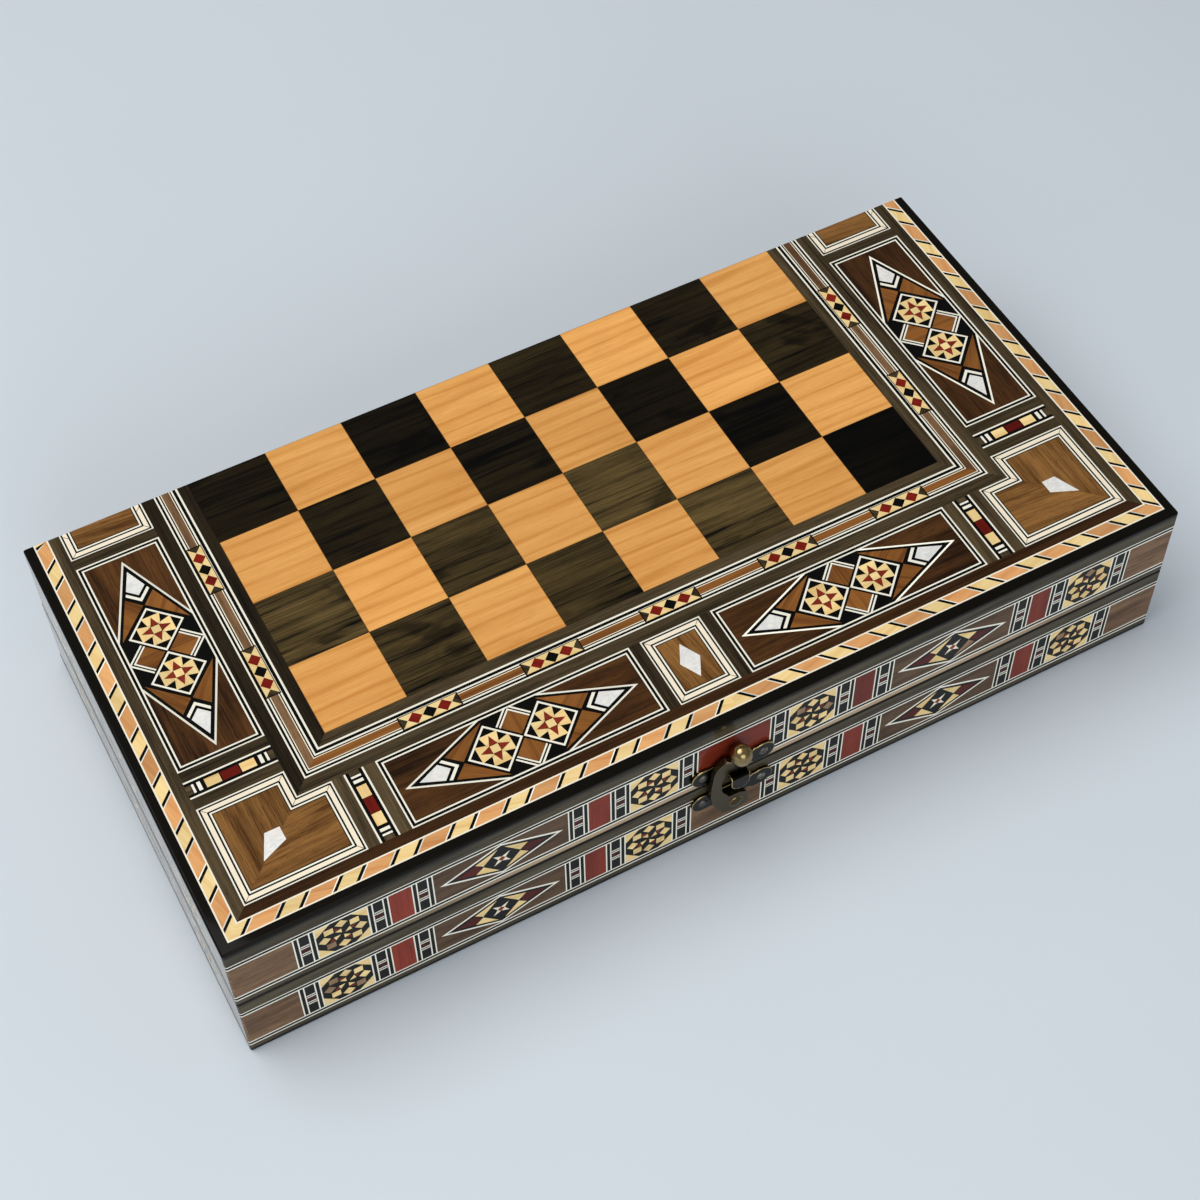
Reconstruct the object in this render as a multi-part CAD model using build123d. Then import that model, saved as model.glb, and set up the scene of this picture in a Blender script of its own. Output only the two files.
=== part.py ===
from build123d import *
from math import atan2, cos, degrees, hypot, radians, sin, sqrt
import os

os.makedirs("parts", exist_ok=True)

# A folding chess box: two shallow trays hinged along their long back edges. The outer faces carry
# the two halves of a chessboard in inlaid veneer, the trays are a points board inside, and a hook
# latch holds the front. Millimetres. X runs along the hinge edge, Y towards the hinges and Z up.
# The origin is the middle of the closed box's underside.

# Driving dimensions: the box
BOX_WIDTH = 303.0  # along the hinge edge
HALF_HEIGHT = 28.2  # one tray, outer face to rim
RAIL = 8.0  # thickness of the four rails of a tray
CORE = 3.5  # thin board that closes a tray
VENEER = 0.8  # inlaid skin on the outer face
FLOOR_VENEER = 0.6  # inlaid skin inside the tray
CORNER_RADIUS = 0.8  # upright edges at the front corners
EDGE_RADIUS = 0.8  # free edges of the outer face
RIM_RADIUS = 0.6  # outer edge of the rim
HINGE_EDGING = 1.2  # rail wood left between the core and the hinge face
NEAR = 0.01  # how close counts as being at a place, when edges are picked

# Driving dimensions: the outer face, from the squares out to its edge. The squares fill the width
# that the bands and panels leave, and the box's depth follows from them.
FILES = 8  # squares along the hinge edge
RANKS = 4  # squares from the hinge edge to the front, on each half
INNER_BAND = 3.4  # dark band round the squares
FIELD_FRAME = 7.4  # lined frame round the inner band
FIELD_BAND = 4.0  # dark band between the field frame and the panels
PANEL_WIDTH = 25.7  # panels of a side column, along X
PANEL_DEPTH = 24.2  # panels of the front row, along Y
OUTER_BAND = 3.4  # dark band inside the rope
ROPE = 4.5  # slanted-block band
LIP = 3.1  # rail wood that frames the outer face

# Driving dimensions: lengths along the front row and the side columns
DIVIDER = 3.5  # dark bar between two panels
CENTRE_PANEL = 19.3  # middle panel of the front row, along X
SMALL_STRIP = 5.9  # barred strip between a corner and a long panel
CORNER_LENGTH_X = 35.8  # corner panel along the front
CORNER_LENGTH_Y = 33.3  # corner panel along the side
END_PANEL = 10.6  # half panel that meets its other half across the hinge edge

# Driving dimensions: mother-of-pearl let into the panels
KITE_START = 7.8  # long panel's end to the kite's sharp tip
KITE_LENGTH = 9.4
KITE_SHOULDER = 6.6  # sharp tip to the widest place
KITE_WIDTH = 5.7
LOZENGE_WIDTH = 6.4
LOZENGE_LENGTH = 12.4
CORNER_KITE_LENGTH = 11.1  # along the corner panel's diagonal
CORNER_KITE_WIDTH = 6.3
CORNER_KITE_SHOULDER = 8.0
CORNER_KITE_INSET = 9.9  # its sharp tip from the corner panel's outer corner, along X and Y

# Driving dimensions: inlaid strips on the upright sides
STRIP_DEPTH = 0.8
BASE_STRIP_OFFSET = 3.6  # from the underside
BASE_STRIP_MARGIN = 5.1  # below the seam
LID_STRIP_OFFSET = 6.3  # from the top
LID_STRIP_MARGIN = 2.4  # above the seam

# Driving dimensions: points inside the trays
POINTS_PER_END = 6
POINT_LENGTH = 112.0
POINT_GAP = 0.6  # ground left between two neighbouring points at the rail

# Driving dimensions: butt hinges
HINGE_INSET = 55.5  # each hinge's middle from the box's end
HINGE_LENGTH = 25.0
KNUCKLES = 5
BARREL_RADIUS = 1.8
PIN_RADIUS = 0.8
PIN_HEAD_RADIUS = 1.3
PIN_HEAD = 0.5
LEAF_WIDTH = 6.6  # back face of the box to the leaf's edge
LEAF_THICKNESS = 1.0
LEAF_GAP = 0.05  # each leaf sits this far under its rim
AXIS_STANDOFF = 0.05  # the pin stands this far behind the back face
KNUCKLE_GAP = 0.1
BARREL_CLEARANCE = 0.25  # round the barrel in the rails
RUNNING_CLEARANCE = 0.05  # a pin, rivet or screw in its hole
HINGE_SCREW_SPACING = 14.0
HINGE_SCREW_LENGTH = 7.0

# Driving dimensions: screws
SCREW_RADIUS = 0.9
SCREW_HEAD_RADIUS = 1.5
COUNTERSINK = 0.6
DOME = 0.6  # height of a latch screw's round head
SLOT_WIDTH = 0.35
SLOT_DEPTH = 0.35
POINT = 1.2  # tapered end of a screw

# Driving dimensions: the latch. Heights are from the seam between the trays.
LATCH_X = 1.0
LATCH_PLATE = 1.0
LOBE_RADIUS = 3.7
LID_SCREW_SPACING = 19.6
LID_SCREW_RISE = 5.9
BASE_SCREW_SPACING = 19.2
BASE_SCREW_DROP = 7.5
LATCH_SCREW_LENGTH = 6.5
RIVET_DROP = 10.5
RIVET_RADIUS = 1.2
RIVET_HEAD_RADIUS = 2.3
RIVET_HEAD = 0.8
COLLAR_RADIUS = 2.7
COLLAR = 0.7
HOOK_THICKNESS = 1.6
HOOK_EYE_RADIUS = 4.2
HOOK_CLEARANCE = 0.2  # hook to catch, latched
KNOB_RADIUS = 3.15
KNOB_START = 18.6  # rivet to the knob's narrow end
KNOB_RISE = 27.3  # rivet to the knob's widest place
KNOB_OUT = 4.7  # front of the box to the knob's middle at its widest place
CATCH_RISE = 5.8  # top of the catch
CATCH_WIDTH = 6.0
CATCH_OUT = 5.3
CATCH_DROP = 6.2
CATCH_THICKNESS = 1.0

# Driving places on the hook's outline, latched: x to the right and y up from the rivet
HOOK_OUTER_EDGE = [(-5.4, -1.2), (-8.0, 5.0), (-8.5, 11.0), (-8.0, 17.0), (-6.5, 21.8), (-4.1, 23.7)]
HOOK_DIP = (-1.6, 22.0)  # where the outer edge runs into the knob
HOOK_INNER_EDGE = [(-5.0, 14.0), (-5.1, 11.2), (-4.5, 8.0), (-3.0, 5.4)]
HOOK_END = (4.3, 18.6)  # far right of the neck
HOOK_TOP = (2.0, 24.0)  # where the neck's right edge runs into the knob

# Derived places on the outer face: half widths from the middle and distances from the hinge edge
BORDER = LIP + ROPE + OUTER_BAND + PANEL_WIDTH + FIELD_BAND + FIELD_FRAME + INNER_BAND
SQUARE = (BOX_WIDTH - 2 * BORDER) / FILES
SQUARES_HALF, SQUARES_DEPTH = FILES * SQUARE / 2, RANKS * SQUARE
INNER_HALF, INNER_DEPTH = SQUARES_HALF + INNER_BAND, SQUARES_DEPTH + INNER_BAND
FRAME_HALF, FRAME_DEPTH = INNER_HALF + FIELD_FRAME, INNER_DEPTH + FIELD_FRAME
FIELD_HALF, FIELD_DEPTH = FRAME_HALF + FIELD_BAND, FRAME_DEPTH + FIELD_BAND
ROW_HALF, ROW_DEPTH = FIELD_HALF + PANEL_WIDTH, FIELD_DEPTH + PANEL_DEPTH
BAND_HALF, BAND_DEPTH = ROW_HALF + OUTER_BAND, ROW_DEPTH + OUTER_BAND
ROPE_HALF, ROPE_DEPTH = BAND_HALF + ROPE, BAND_DEPTH + ROPE
BOX_DEPTH = ROPE_DEPTH + LIP

# Derived places along the front row, as distances from the middle
CENTRE_END = CENTRE_PANEL / 2
LONG_START = CENTRE_END + DIVIDER
CORNER_START = ROW_HALF - CORNER_LENGTH_X
STRIP_END = CORNER_START - DIVIDER
STRIP_START = STRIP_END - SMALL_STRIP
LONG_END = STRIP_START - DIVIDER

# Derived places along a side column, as distances from the hinge edge
SIDE_LONG_START = END_PANEL + DIVIDER
SIDE_CORNER_START = ROW_DEPTH - CORNER_LENGTH_Y
SIDE_STRIP_END = SIDE_CORNER_START - DIVIDER
SIDE_STRIP_START = SIDE_STRIP_END - SMALL_STRIP
SIDE_LONG_END = SIDE_STRIP_START - DIVIDER

HINGE_EDGE = BOX_DEPTH / 2
CORE_TOP = VENEER + CORE
FLOOR_TOP = CORE_TOP + FLOOR_VENEER
TRAY_HALF = BOX_WIDTH / 2 - RAIL
HINGE_POSITION = BOX_WIDTH / 2 - HINGE_INSET
HINGE_AXIS_Y = HINGE_EDGE + AXIS_STANDOFF
LEAF_TOP = HALF_HEIGHT - LEAF_GAP
RECESS_RADIUS = BARREL_RADIUS + BARREL_CLEARANCE
STRIP_OFFSETS = {"base": BASE_STRIP_OFFSET, "lid": LID_STRIP_OFFSET}
STRIP_MARGINS = {"base": BASE_STRIP_MARGIN, "lid": LID_STRIP_MARGIN}
KNUCKLES_OF = {"base": (0, 2, 4), "lid": (1, 3)}

# Derived sizes of the latch, outwards from the front of the box and round the rivet
SCREW_SPACINGS = {"base": BASE_SCREW_SPACING, "lid": LID_SCREW_SPACING}
SCREW_HEIGHTS = {"base": -BASE_SCREW_DROP, "lid": LID_SCREW_RISE}
COLLAR_TOP = LATCH_PLATE + COLLAR
HOOK_BACK = COLLAR_TOP + RUNNING_CLEARANCE
HOOK_FRONT = HOOK_BACK + HOOK_THICKNESS
CATCH_RADIUS = hypot(CATCH_WIDTH / 2, CATCH_RISE + RIVET_DROP)
NECK_RADIUS = CATCH_RADIUS + HOOK_CLEARANCE
LATCH_FRAME = Plane(origin=(LATCH_X, -HINGE_EDGE, HALF_HEIGHT), x_dir=(1, 0, 0), z_dir=(0, -1, 0))


# Helpers. A half is drawn as the base lies: v is the distance from the hinge edge towards the
# front and w the height over the outer face, which is also the depth into the lid.
def slab(x0, x1, v0, v1, w0, w1):
    """A block between two places in x, two distances from the hinge edge and two heights."""
    middle = Pos((x0 + x1) / 2, HINGE_EDGE - (v0 + v1) / 2, (w0 + w1) / 2)
    return middle * Box(x1 - x0, v1 - v0, w1 - w0)


def flat(points):
    """A flat face with the given corners, which may run either way round."""
    ends = points[1:] + points[:1]
    area = sum(x0 * y1 - x1 * y0 for (x0, y0), (x1, y1) in zip(points, ends))
    return Polygon(*(points if area > 0 else points[::-1]), align=None)


def prism(corners, w0, w1):
    """A flat piece with the given (x, v) corners, between two heights."""
    outline = flat([(x, HINGE_EDGE - v) for x, v in corners])
    return extrude(Plane.XY.offset(w0) * outline, w1 - w0)


def veneer(corners):
    """A piece of the outer face's skin."""
    return prism(corners, 0, VENEER)


def rectangle(x0, x1, v0, v1):
    return [(x0, v0), (x1, v0), (x1, v1), (x0, v1)]


def both_sides(corners):
    """The same outline on the right and on the left of the middle."""
    return [corners, [(-x, v) for x, v in corners]]


def mitred_bands(half_out, depth_out, half_in, depth_in):
    """Left, front and right strips of a U that is open to the hinge edge, mitred at its corners."""
    side = [(half_in, 0), (half_out, 0), (half_out, depth_out), (half_in, depth_in)]
    front = [(-half_in, depth_in), (half_in, depth_in), (half_out, depth_out), (-half_out, depth_out)]
    return both_sides(side) + [front]


def kite(tip, direction, length, width, shoulder):
    """A kite from its sharp tip along a unit direction, widest at the shoulder."""
    (x, v), (dx, dv) = tip, direction
    wide = (x + dx * shoulder, v + dv * shoulder)
    left = (wide[0] - dv * width / 2, wide[1] + dx * width / 2)
    right = (wide[0] + dv * width / 2, wide[1] - dx * width / 2)
    return [tip, left, (x + dx * length, v + dv * length), right]


def place(half, shape):
    """The base stays as drawn, and the lid is its mirror image in the seam."""
    return shape if half == "base" else mirror(shape, about=Plane.XY.offset(HALF_HEIGHT))


def solids_of(shapes):
    return [solid for shape in shapes for solid in shape.solids()]


def save(node, *shapes):
    """Write one named sub-part."""
    export_step(Compound(solids_of(shapes)), f"parts/{node}.step")


# Rails and boards of a tray
def free_edges(block, height):
    """The edges of the block's face at a height, without the one on the hinge face."""
    edges = block.edges().filter_by_position(Axis.Z, height - NEAR, height + NEAR)
    return edges.filter_by(lambda edge: edge.center().Y < HINGE_EDGE - NEAR)


def outer_block():
    """The outside of a tray: rounded front corners, outer face edges and rim."""
    block = slab(-BOX_WIDTH / 2, BOX_WIDTH / 2, 0, BOX_DEPTH, 0, HALF_HEIGHT)
    uprights = block.edges().filter_by(Axis.Z).group_by(Axis.Y)[0]
    block = fillet(uprights, CORNER_RADIUS)
    block = fillet(free_edges(block, 0), EDGE_RADIUS)
    return fillet(free_edges(block, HALF_HEIGHT), RIM_RADIUS)


def strip_grooves(half):
    """Front, left and right grooves for the inlaid side strips."""
    w0, w1 = STRIP_OFFSETS[half], HALF_HEIGHT - STRIP_MARGINS[half]
    edge, depth = BOX_WIDTH / 2, STRIP_DEPTH
    front = slab(-edge, edge, BOX_DEPTH - depth, BOX_DEPTH, w0, w1)
    left = slab(-edge, -edge + depth, 0, BOX_DEPTH - depth, w0, w1)
    right = slab(edge - depth, edge, 0, BOX_DEPTH - depth, w0, w1)
    return front, left, right


def hinge_cuts():
    """Leaf mortises and the round groove for the barrel, at both hinges."""
    recess_length = HINGE_LENGTH + 2 * (PIN_HEAD + BARREL_CLEARANCE)
    cuts = []
    for x in (-HINGE_POSITION, HINGE_POSITION):
        reach = HINGE_LENGTH / 2 + RUNNING_CLEARANCE
        back = LEAF_WIDTH + RUNNING_CLEARANCE
        cuts.append(slab(x - reach, x + reach, 0, back, LEAF_TOP - LEAF_THICKNESS, HALF_HEIGHT))
        barrel = Rot(0, 90, 0) * Cylinder(RECESS_RADIUS, recess_length)
        cuts.append(Pos(x, HINGE_AXIS_Y, HALF_HEIGHT) * barrel)
        cuts += [Pos(*spot) * hinge_pilot() for spot in hinge_screw_spots(x)]
    return cuts


def tray_rails(half):
    """Four rails: the front corners are mitred and the back rail stands between the side rails."""
    edge, pocket = BOX_WIDTH / 2, BOX_WIDTH / 2 - LIP
    ring = outer_block()
    ring -= slab(-TRAY_HALF, TRAY_HALF, RAIL, BOX_DEPTH - RAIL, 0, HALF_HEIGHT)
    ring -= slab(-pocket, pocket, 0, BOX_DEPTH - LIP, 0, VENEER)
    ring -= slab(-pocket, pocket, HINGE_EDGING, BOX_DEPTH - LIP, VENEER, CORE_TOP)
    for groove in strip_grooves(half):
        ring -= groove
    for cut in hinge_cuts():
        ring -= cut
    inner, front = TRAY_HALF, BOX_DEPTH - RAIL
    regions = {
        "front_rail": [(-edge, BOX_DEPTH), (-inner, front), (inner, front), (edge, BOX_DEPTH)],
        "back_rail": rectangle(-inner, inner, 0, RAIL),
        "left_rail": [(-edge, 0), (-inner, 0), (-inner, front), (-edge, BOX_DEPTH)],
        "right_rail": [(edge, 0), (inner, 0), (inner, front), (edge, BOX_DEPTH)],
    }
    return {name: ring & prism(area, 0, HALF_HEIGHT) for name, area in regions.items()}


def side_strips(half):
    """Inlaid strips that fill the grooves, rounded with the box's corners."""
    return [groove & outer_block() for groove in strip_grooves(half)]


def core_panel():
    pocket = BOX_WIDTH / 2 - LIP
    return slab(-pocket, pocket, HINGE_EDGING, BOX_DEPTH - LIP, VENEER, CORE_TOP)


# Inlay of the outer face
def squares(half):
    """Light and dark squares. The two halves alternate across the hinge edge."""
    shift = 0 if half == "lid" else 1
    groups = {0: [], 1: []}
    for column in range(FILES):
        x = -SQUARES_HALF + column * SQUARE
        for row in range(RANKS):
            v = row * SQUARE
            tile = veneer(rectangle(x, x + SQUARE, v, v + SQUARE))
            groups[(column + row + shift) % 2].append(tile)
    return {"dark_squares": groups[0], "light_squares": groups[1]}


def long_panel_outlines():
    """Two long panels along the front and one on each side."""
    front = rectangle(LONG_START, LONG_END, FIELD_DEPTH, ROW_DEPTH)
    side = rectangle(FIELD_HALF, ROW_HALF, SIDE_LONG_START, SIDE_LONG_END)
    return both_sides(front) + both_sides(side)


def corner_outlines():
    """Corner panels, notched where the field band turns."""
    corner = [
        (FIELD_HALF, SIDE_CORNER_START),
        (ROW_HALF, SIDE_CORNER_START),
        (ROW_HALF, ROW_DEPTH),
        (CORNER_START, ROW_DEPTH),
        (CORNER_START, FIELD_DEPTH),
        (FIELD_HALF, FIELD_DEPTH),
    ]
    return both_sides(corner)


def divider_outlines():
    """Dark bars that part the panels."""
    front = [(CENTRE_END, LONG_START), (LONG_END, STRIP_START), (STRIP_END, CORNER_START)]
    side = [
        (END_PANEL, SIDE_LONG_START),
        (SIDE_LONG_END, SIDE_STRIP_START),
        (SIDE_STRIP_END, SIDE_CORNER_START),
    ]
    outlines = []
    for start, end in front:
        outlines += both_sides(rectangle(start, end, FIELD_DEPTH, ROW_DEPTH))
    for start, end in side:
        outlines += both_sides(rectangle(FIELD_HALF, ROW_HALF, start, end))
    return outlines


def pearl_outlines():
    """Kites at the ends of the long panels and in the corners, and the centre lozenge."""
    size = (KITE_LENGTH, KITE_WIDTH, KITE_SHOULDER)
    row_middle = (FIELD_DEPTH + ROW_DEPTH) / 2
    column_middle = (FIELD_HALF + ROW_HALF) / 2
    outlines = []
    outlines += both_sides(kite((LONG_START + KITE_START, row_middle), (1, 0), *size))
    outlines += both_sides(kite((LONG_END - KITE_START, row_middle), (-1, 0), *size))
    outlines += both_sides(kite((column_middle, SIDE_LONG_START + KITE_START), (0, 1), *size))
    outlines += both_sides(kite((column_middle, SIDE_LONG_END - KITE_START), (0, -1), *size))
    tip = (ROW_HALF - CORNER_KITE_INSET, ROW_DEPTH - CORNER_KITE_INSET)
    diagonal = (-sin(radians(45)), -cos(radians(45)))
    corner_size = (CORNER_KITE_LENGTH, CORNER_KITE_WIDTH, CORNER_KITE_SHOULDER)
    outlines += both_sides(kite(tip, diagonal, *corner_size))
    half_width, half_length = LOZENGE_WIDTH / 2, LOZENGE_LENGTH / 2
    outlines.append(
        [
            (half_width, row_middle),
            (0, row_middle + half_length),
            (-half_width, row_middle),
            (0, row_middle - half_length),
        ]
    )
    return outlines


def outer_face():
    """Every inlaid piece of the outer face but the squares, by sub-part name."""
    bands = mitred_bands(BAND_HALF, BAND_DEPTH, ROW_HALF, ROW_DEPTH)
    bands += mitred_bands(FIELD_HALF, FIELD_DEPTH, FRAME_HALF, FRAME_DEPTH)
    bands += mitred_bands(INNER_HALF, INNER_DEPTH, SQUARES_HALF, SQUARES_DEPTH)
    strips = both_sides(rectangle(STRIP_START, STRIP_END, FIELD_DEPTH, ROW_DEPTH))
    strips += both_sides(rectangle(FIELD_HALF, ROW_HALF, SIDE_STRIP_START, SIDE_STRIP_END))
    outlines = {
        "rope_inlay": mitred_bands(ROPE_HALF, ROPE_DEPTH, BAND_HALF, BAND_DEPTH),
        "dark_bands": bands,
        "field_frame": mitred_bands(FRAME_HALF, FRAME_DEPTH, INNER_HALF, INNER_DEPTH),
        "dividers": divider_outlines(),
        "small_strips": strips,
        "end_panels": both_sides(rectangle(FIELD_HALF, ROW_HALF, 0, END_PANEL)),
        "long_panels": long_panel_outlines(),
        "corner_panels": corner_outlines(),
        "centre_panel": [rectangle(-CENTRE_END, CENTRE_END, FIELD_DEPTH, ROW_DEPTH)],
    }
    pieces = {name: [veneer(area) for area in areas] for name, areas in outlines.items()}
    pearls = [veneer(area) for area in pearl_outlines()]
    for name in ("long_panels", "corner_panels", "centre_panel"):
        pieces[name] = [panel - pearls for panel in pieces[name]]
    return {**pieces, "pearl_inlays": pearls}


# Inlay inside a tray
def point_outlines():
    """Six long points from each end of a tray, alternating dark and light."""
    pitch = (BOX_DEPTH - 2 * RAIL) / POINTS_PER_END
    dark, light = [], []
    for index in range(POINTS_PER_END):
        start = RAIL + index * pitch + POINT_GAP / 2
        end = RAIL + (index + 1) * pitch - POINT_GAP / 2
        tip = (TRAY_HALF - POINT_LENGTH, (start + end) / 2)
        right = [(TRAY_HALF, start), (TRAY_HALF, end), tip]
        left = [(-x, v) for x, v in right]
        (dark if index % 2 else light).append(right)
        (light if index % 2 else dark).append(left)
    return {"dark_points": dark, "light_points": light}


def tray_floor():
    """The ground veneer of the tray and the points let into it."""
    groups = {
        name: [prism(area, CORE_TOP, FLOOR_TOP) for area in areas]
        for name, areas in point_outlines().items()
    }
    ground = slab(-TRAY_HALF, TRAY_HALF, RAIL, BOX_DEPTH - RAIL, CORE_TOP, FLOOR_TOP)
    ground -= groups["dark_points"] + groups["light_points"]
    return {"floor_veneer": [ground], **groups}


# Screws. Each is drawn upright with the underside of its head at z = 0, pointing down.
def screw_shank(length):
    straight = length - POINT
    shank = Pos(0, 0, -straight / 2) * Cylinder(SCREW_RADIUS, straight)
    point = Pos(0, 0, -straight - POINT / 2) * Cone(SCREW_RADIUS / 4, SCREW_RADIUS, POINT)
    return shank + point


def cross_slot(top):
    """The cross cut in a screw's head."""
    bar = Box(SCREW_HEAD_RADIUS * 1.2, SLOT_WIDTH, 2 * SLOT_DEPTH)
    return Pos(0, 0, top) * (bar + Rot(0, 0, 90) * bar)


def pilot_hole(length):
    return Pos(0, 0, -length / 2) * Cylinder(SCREW_RADIUS + RUNNING_CLEARANCE, length)


def countersunk_head(clearance):
    """A cone that widens upwards from the shank to the head's rim, its top at z = 0."""
    cone = Cone(SCREW_RADIUS + clearance, SCREW_HEAD_RADIUS + clearance, COUNTERSINK)
    return Pos(0, 0, -COUNTERSINK / 2) * cone


def hinge_screw():
    return countersunk_head(0) + screw_shank(HINGE_SCREW_LENGTH) - cross_slot(0)


def hinge_pilot():
    return pilot_hole(HINGE_SCREW_LENGTH + RUNNING_CLEARANCE)


def hinge_screw_spots(x):
    """Tops of a leaf's two screws, midway across the flat of the leaf."""
    y = HINGE_EDGE - (RECESS_RADIUS - AXIS_STANDOFF + LEAF_WIDTH) / 2
    return [(x + side * HINGE_SCREW_SPACING / 2, y, LEAF_TOP) for side in (-1, 1)]


def latch_screw():
    """A domed head on a straight shank."""
    ball_radius = (SCREW_HEAD_RADIUS**2 + DOME**2) / (2 * DOME)
    ball = Pos(0, 0, DOME - ball_radius) * Sphere(ball_radius)
    head = ball & Pos(0, 0, DOME / 2) * Cylinder(SCREW_HEAD_RADIUS, DOME)
    return head + screw_shank(LATCH_SCREW_LENGTH + LATCH_PLATE) - cross_slot(DOME)


def latch_screw_spots(half):
    spacing = SCREW_SPACINGS[half]
    return [(side * spacing / 2, SCREW_HEIGHTS[half], LATCH_PLATE) for side in (-1, 1)]


def latch_pilots(half):
    """Screw holes through the plate, the inlaid strip and into the rail, in the box's frame."""
    hole = pilot_hole(LATCH_PLATE + LATCH_SCREW_LENGTH + RUNNING_CLEARANCE)
    return [LATCH_FRAME * Pos(*spot) * hole for spot in latch_screw_spots(half)]


# Butt hinges, drawn as the base's with the hinge's middle at x = 0
def knuckle(index):
    """The stretch of the barrel that a knuckle fills."""
    pitch = HINGE_LENGTH / KNUCKLES
    start = -HINGE_LENGTH / 2 + index * pitch
    return start + KNUCKLE_GAP / 2, start + pitch - KNUCKLE_GAP / 2


def along_pin(x0, x1, radius):
    tube = Rot(0, 90, 0) * Cylinder(radius, x1 - x0)
    return Pos((x0 + x1) / 2, HINGE_AXIS_Y, HALF_HEIGHT) * tube


def hinge_leaf(half, x):
    """A plate that ends clear of the other leaf's knuckles, with its own knuckles on the pin."""
    z0, z1 = LEAF_TOP - LEAF_THICKNESS, LEAF_TOP
    flat_start = RECESS_RADIUS - AXIS_STANDOFF
    leaf = slab(-HINGE_LENGTH / 2, HINGE_LENGTH / 2, flat_start, LEAF_WIDTH, z0, z1)
    for index in KNUCKLES_OF[half]:
        x0, x1 = knuckle(index)
        leaf += slab(x0, x1, -AXIS_STANDOFF, flat_start, z0, z1)
        leaf += along_pin(x0, x1, BARREL_RADIUS)
    leaf -= along_pin(-HINGE_LENGTH, HINGE_LENGTH, PIN_RADIUS + RUNNING_CLEARANCE)
    for spot in hinge_screw_spots(0):
        leaf -= Pos(*spot) * (countersunk_head(RUNNING_CLEARANCE) + hinge_pilot())
    return Pos(x, 0, 0) * leaf


def hinge_pin(x):
    """A pin with a flat head at each end of the barrel."""
    end = HINGE_LENGTH / 2
    pin = along_pin(-end, end, PIN_RADIUS)
    pin += along_pin(-end - PIN_HEAD, -end, PIN_HEAD_RADIUS)
    pin += along_pin(end, end + PIN_HEAD, PIN_HEAD_RADIUS)
    return Pos(x, 0, 0) * pin


# Latch, drawn flat: x to the right, y up from the seam and z out from the front of the box
def disc(x, y, radius):
    return Pos(x, y) * Circle(radius)


def plate_outline(half):
    """Two round lobes at the screws and a waisted middle."""
    reach, height = SCREW_SPACINGS[half] / 2, SCREW_HEIGHTS[half]
    top, bottom = height + 0.9 * LOBE_RADIUS, height - LOBE_RADIUS
    outline = Pos(0, (top + bottom) / 2) * Rectangle(2 * reach, top - bottom)
    for side in (-1, 1):
        outline += disc(side * reach, height, LOBE_RADIUS)
    for side in (-1, 1):
        outline -= disc(side * reach / 2, top + 0.3 * LOBE_RADIUS, 0.55 * LOBE_RADIUS)
        outline -= disc(side * reach / 2, bottom - 0.3 * LOBE_RADIUS, 0.55 * LOBE_RADIUS)
    return outline


def latch_plate(half, outline):
    plate = extrude(outline, LATCH_PLATE)
    for spot in latch_screw_spots(half):
        plate -= Pos(*spot) * pilot_hole(2 * LATCH_PLATE)
    return plate


def base_plate():
    """The lower plate, with a round lobe that carries the rivet."""
    outline = plate_outline("base") + disc(0, -RIVET_DROP, HOOK_EYE_RADIUS)
    hole = Pos(0, -RIVET_DROP, 0) * Cylinder(RIVET_RADIUS, 4 * LATCH_PLATE)
    return latch_plate("base", outline) - hole


def catch():
    """A tongue that comes out of the upper plate and turns down to a round end."""
    half = CATCH_WIDTH / 2
    outline = Pos(0, CATCH_RISE - CATCH_DROP / 2) * Rectangle(CATCH_WIDTH, CATCH_DROP)
    tip = CATCH_RISE - CATCH_DROP
    rounded = outline & (disc(0, tip + half, half) + Pos(0, tip + 2 * half) * Rectangle(2 * half, 2 * half))
    block = extrude(rounded, CATCH_OUT)
    hollow_height = CATCH_DROP - CATCH_THICKNESS
    hollow = Pos(0, tip + hollow_height / 2, (CATCH_OUT - CATCH_THICKNESS) / 2)
    block -= hollow * Box(2 * CATCH_WIDTH, hollow_height, CATCH_OUT - CATCH_THICKNESS)
    bend = block.edges().filter_by(Axis.X).sort_by(Axis.Y)[-2:].sort_by(Axis.Z)[-1]
    return fillet(bend, 0.8 * CATCH_THICKNESS)


def lid_plate():
    return latch_plate("lid", plate_outline("lid")) + catch()


def on_neck(x):
    """The place on the arc that clears the catch as the hook turns, at a distance to the right."""
    return x, sqrt(NECK_RADIUS**2 - x**2)


def hook_outline():
    """A C that opens to the right, its eye on the rivet and its neck over the catch."""
    eye_top, eye_bottom = (0, HOOK_EYE_RADIUS), (0, -HOOK_EYE_RADIUS)
    neck_left, neck_right = on_neck(-0.66 * CATCH_WIDTH), on_neck(CATCH_WIDTH / 2)
    edges = [
        Spline(eye_bottom, *HOOK_OUTER_EDGE, HOOK_DIP, tangents=[(-1, 0), (1, -1)]),
        Line(HOOK_DIP, HOOK_TOP),
        Spline(HOOK_TOP, HOOK_END, neck_right),
        ThreePointArc(neck_right, on_neck(0), neck_left),
        Spline(neck_left, *HOOK_INNER_EDGE, eye_top, tangents=[(-0.4, -1), (1, 0)]),
        Line(eye_top, eye_bottom),
    ]
    outline = make_face(edges) + Circle(HOOK_EYE_RADIUS)
    return outline - Circle(RIVET_RADIUS + RUNNING_CLEARANCE)


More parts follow.
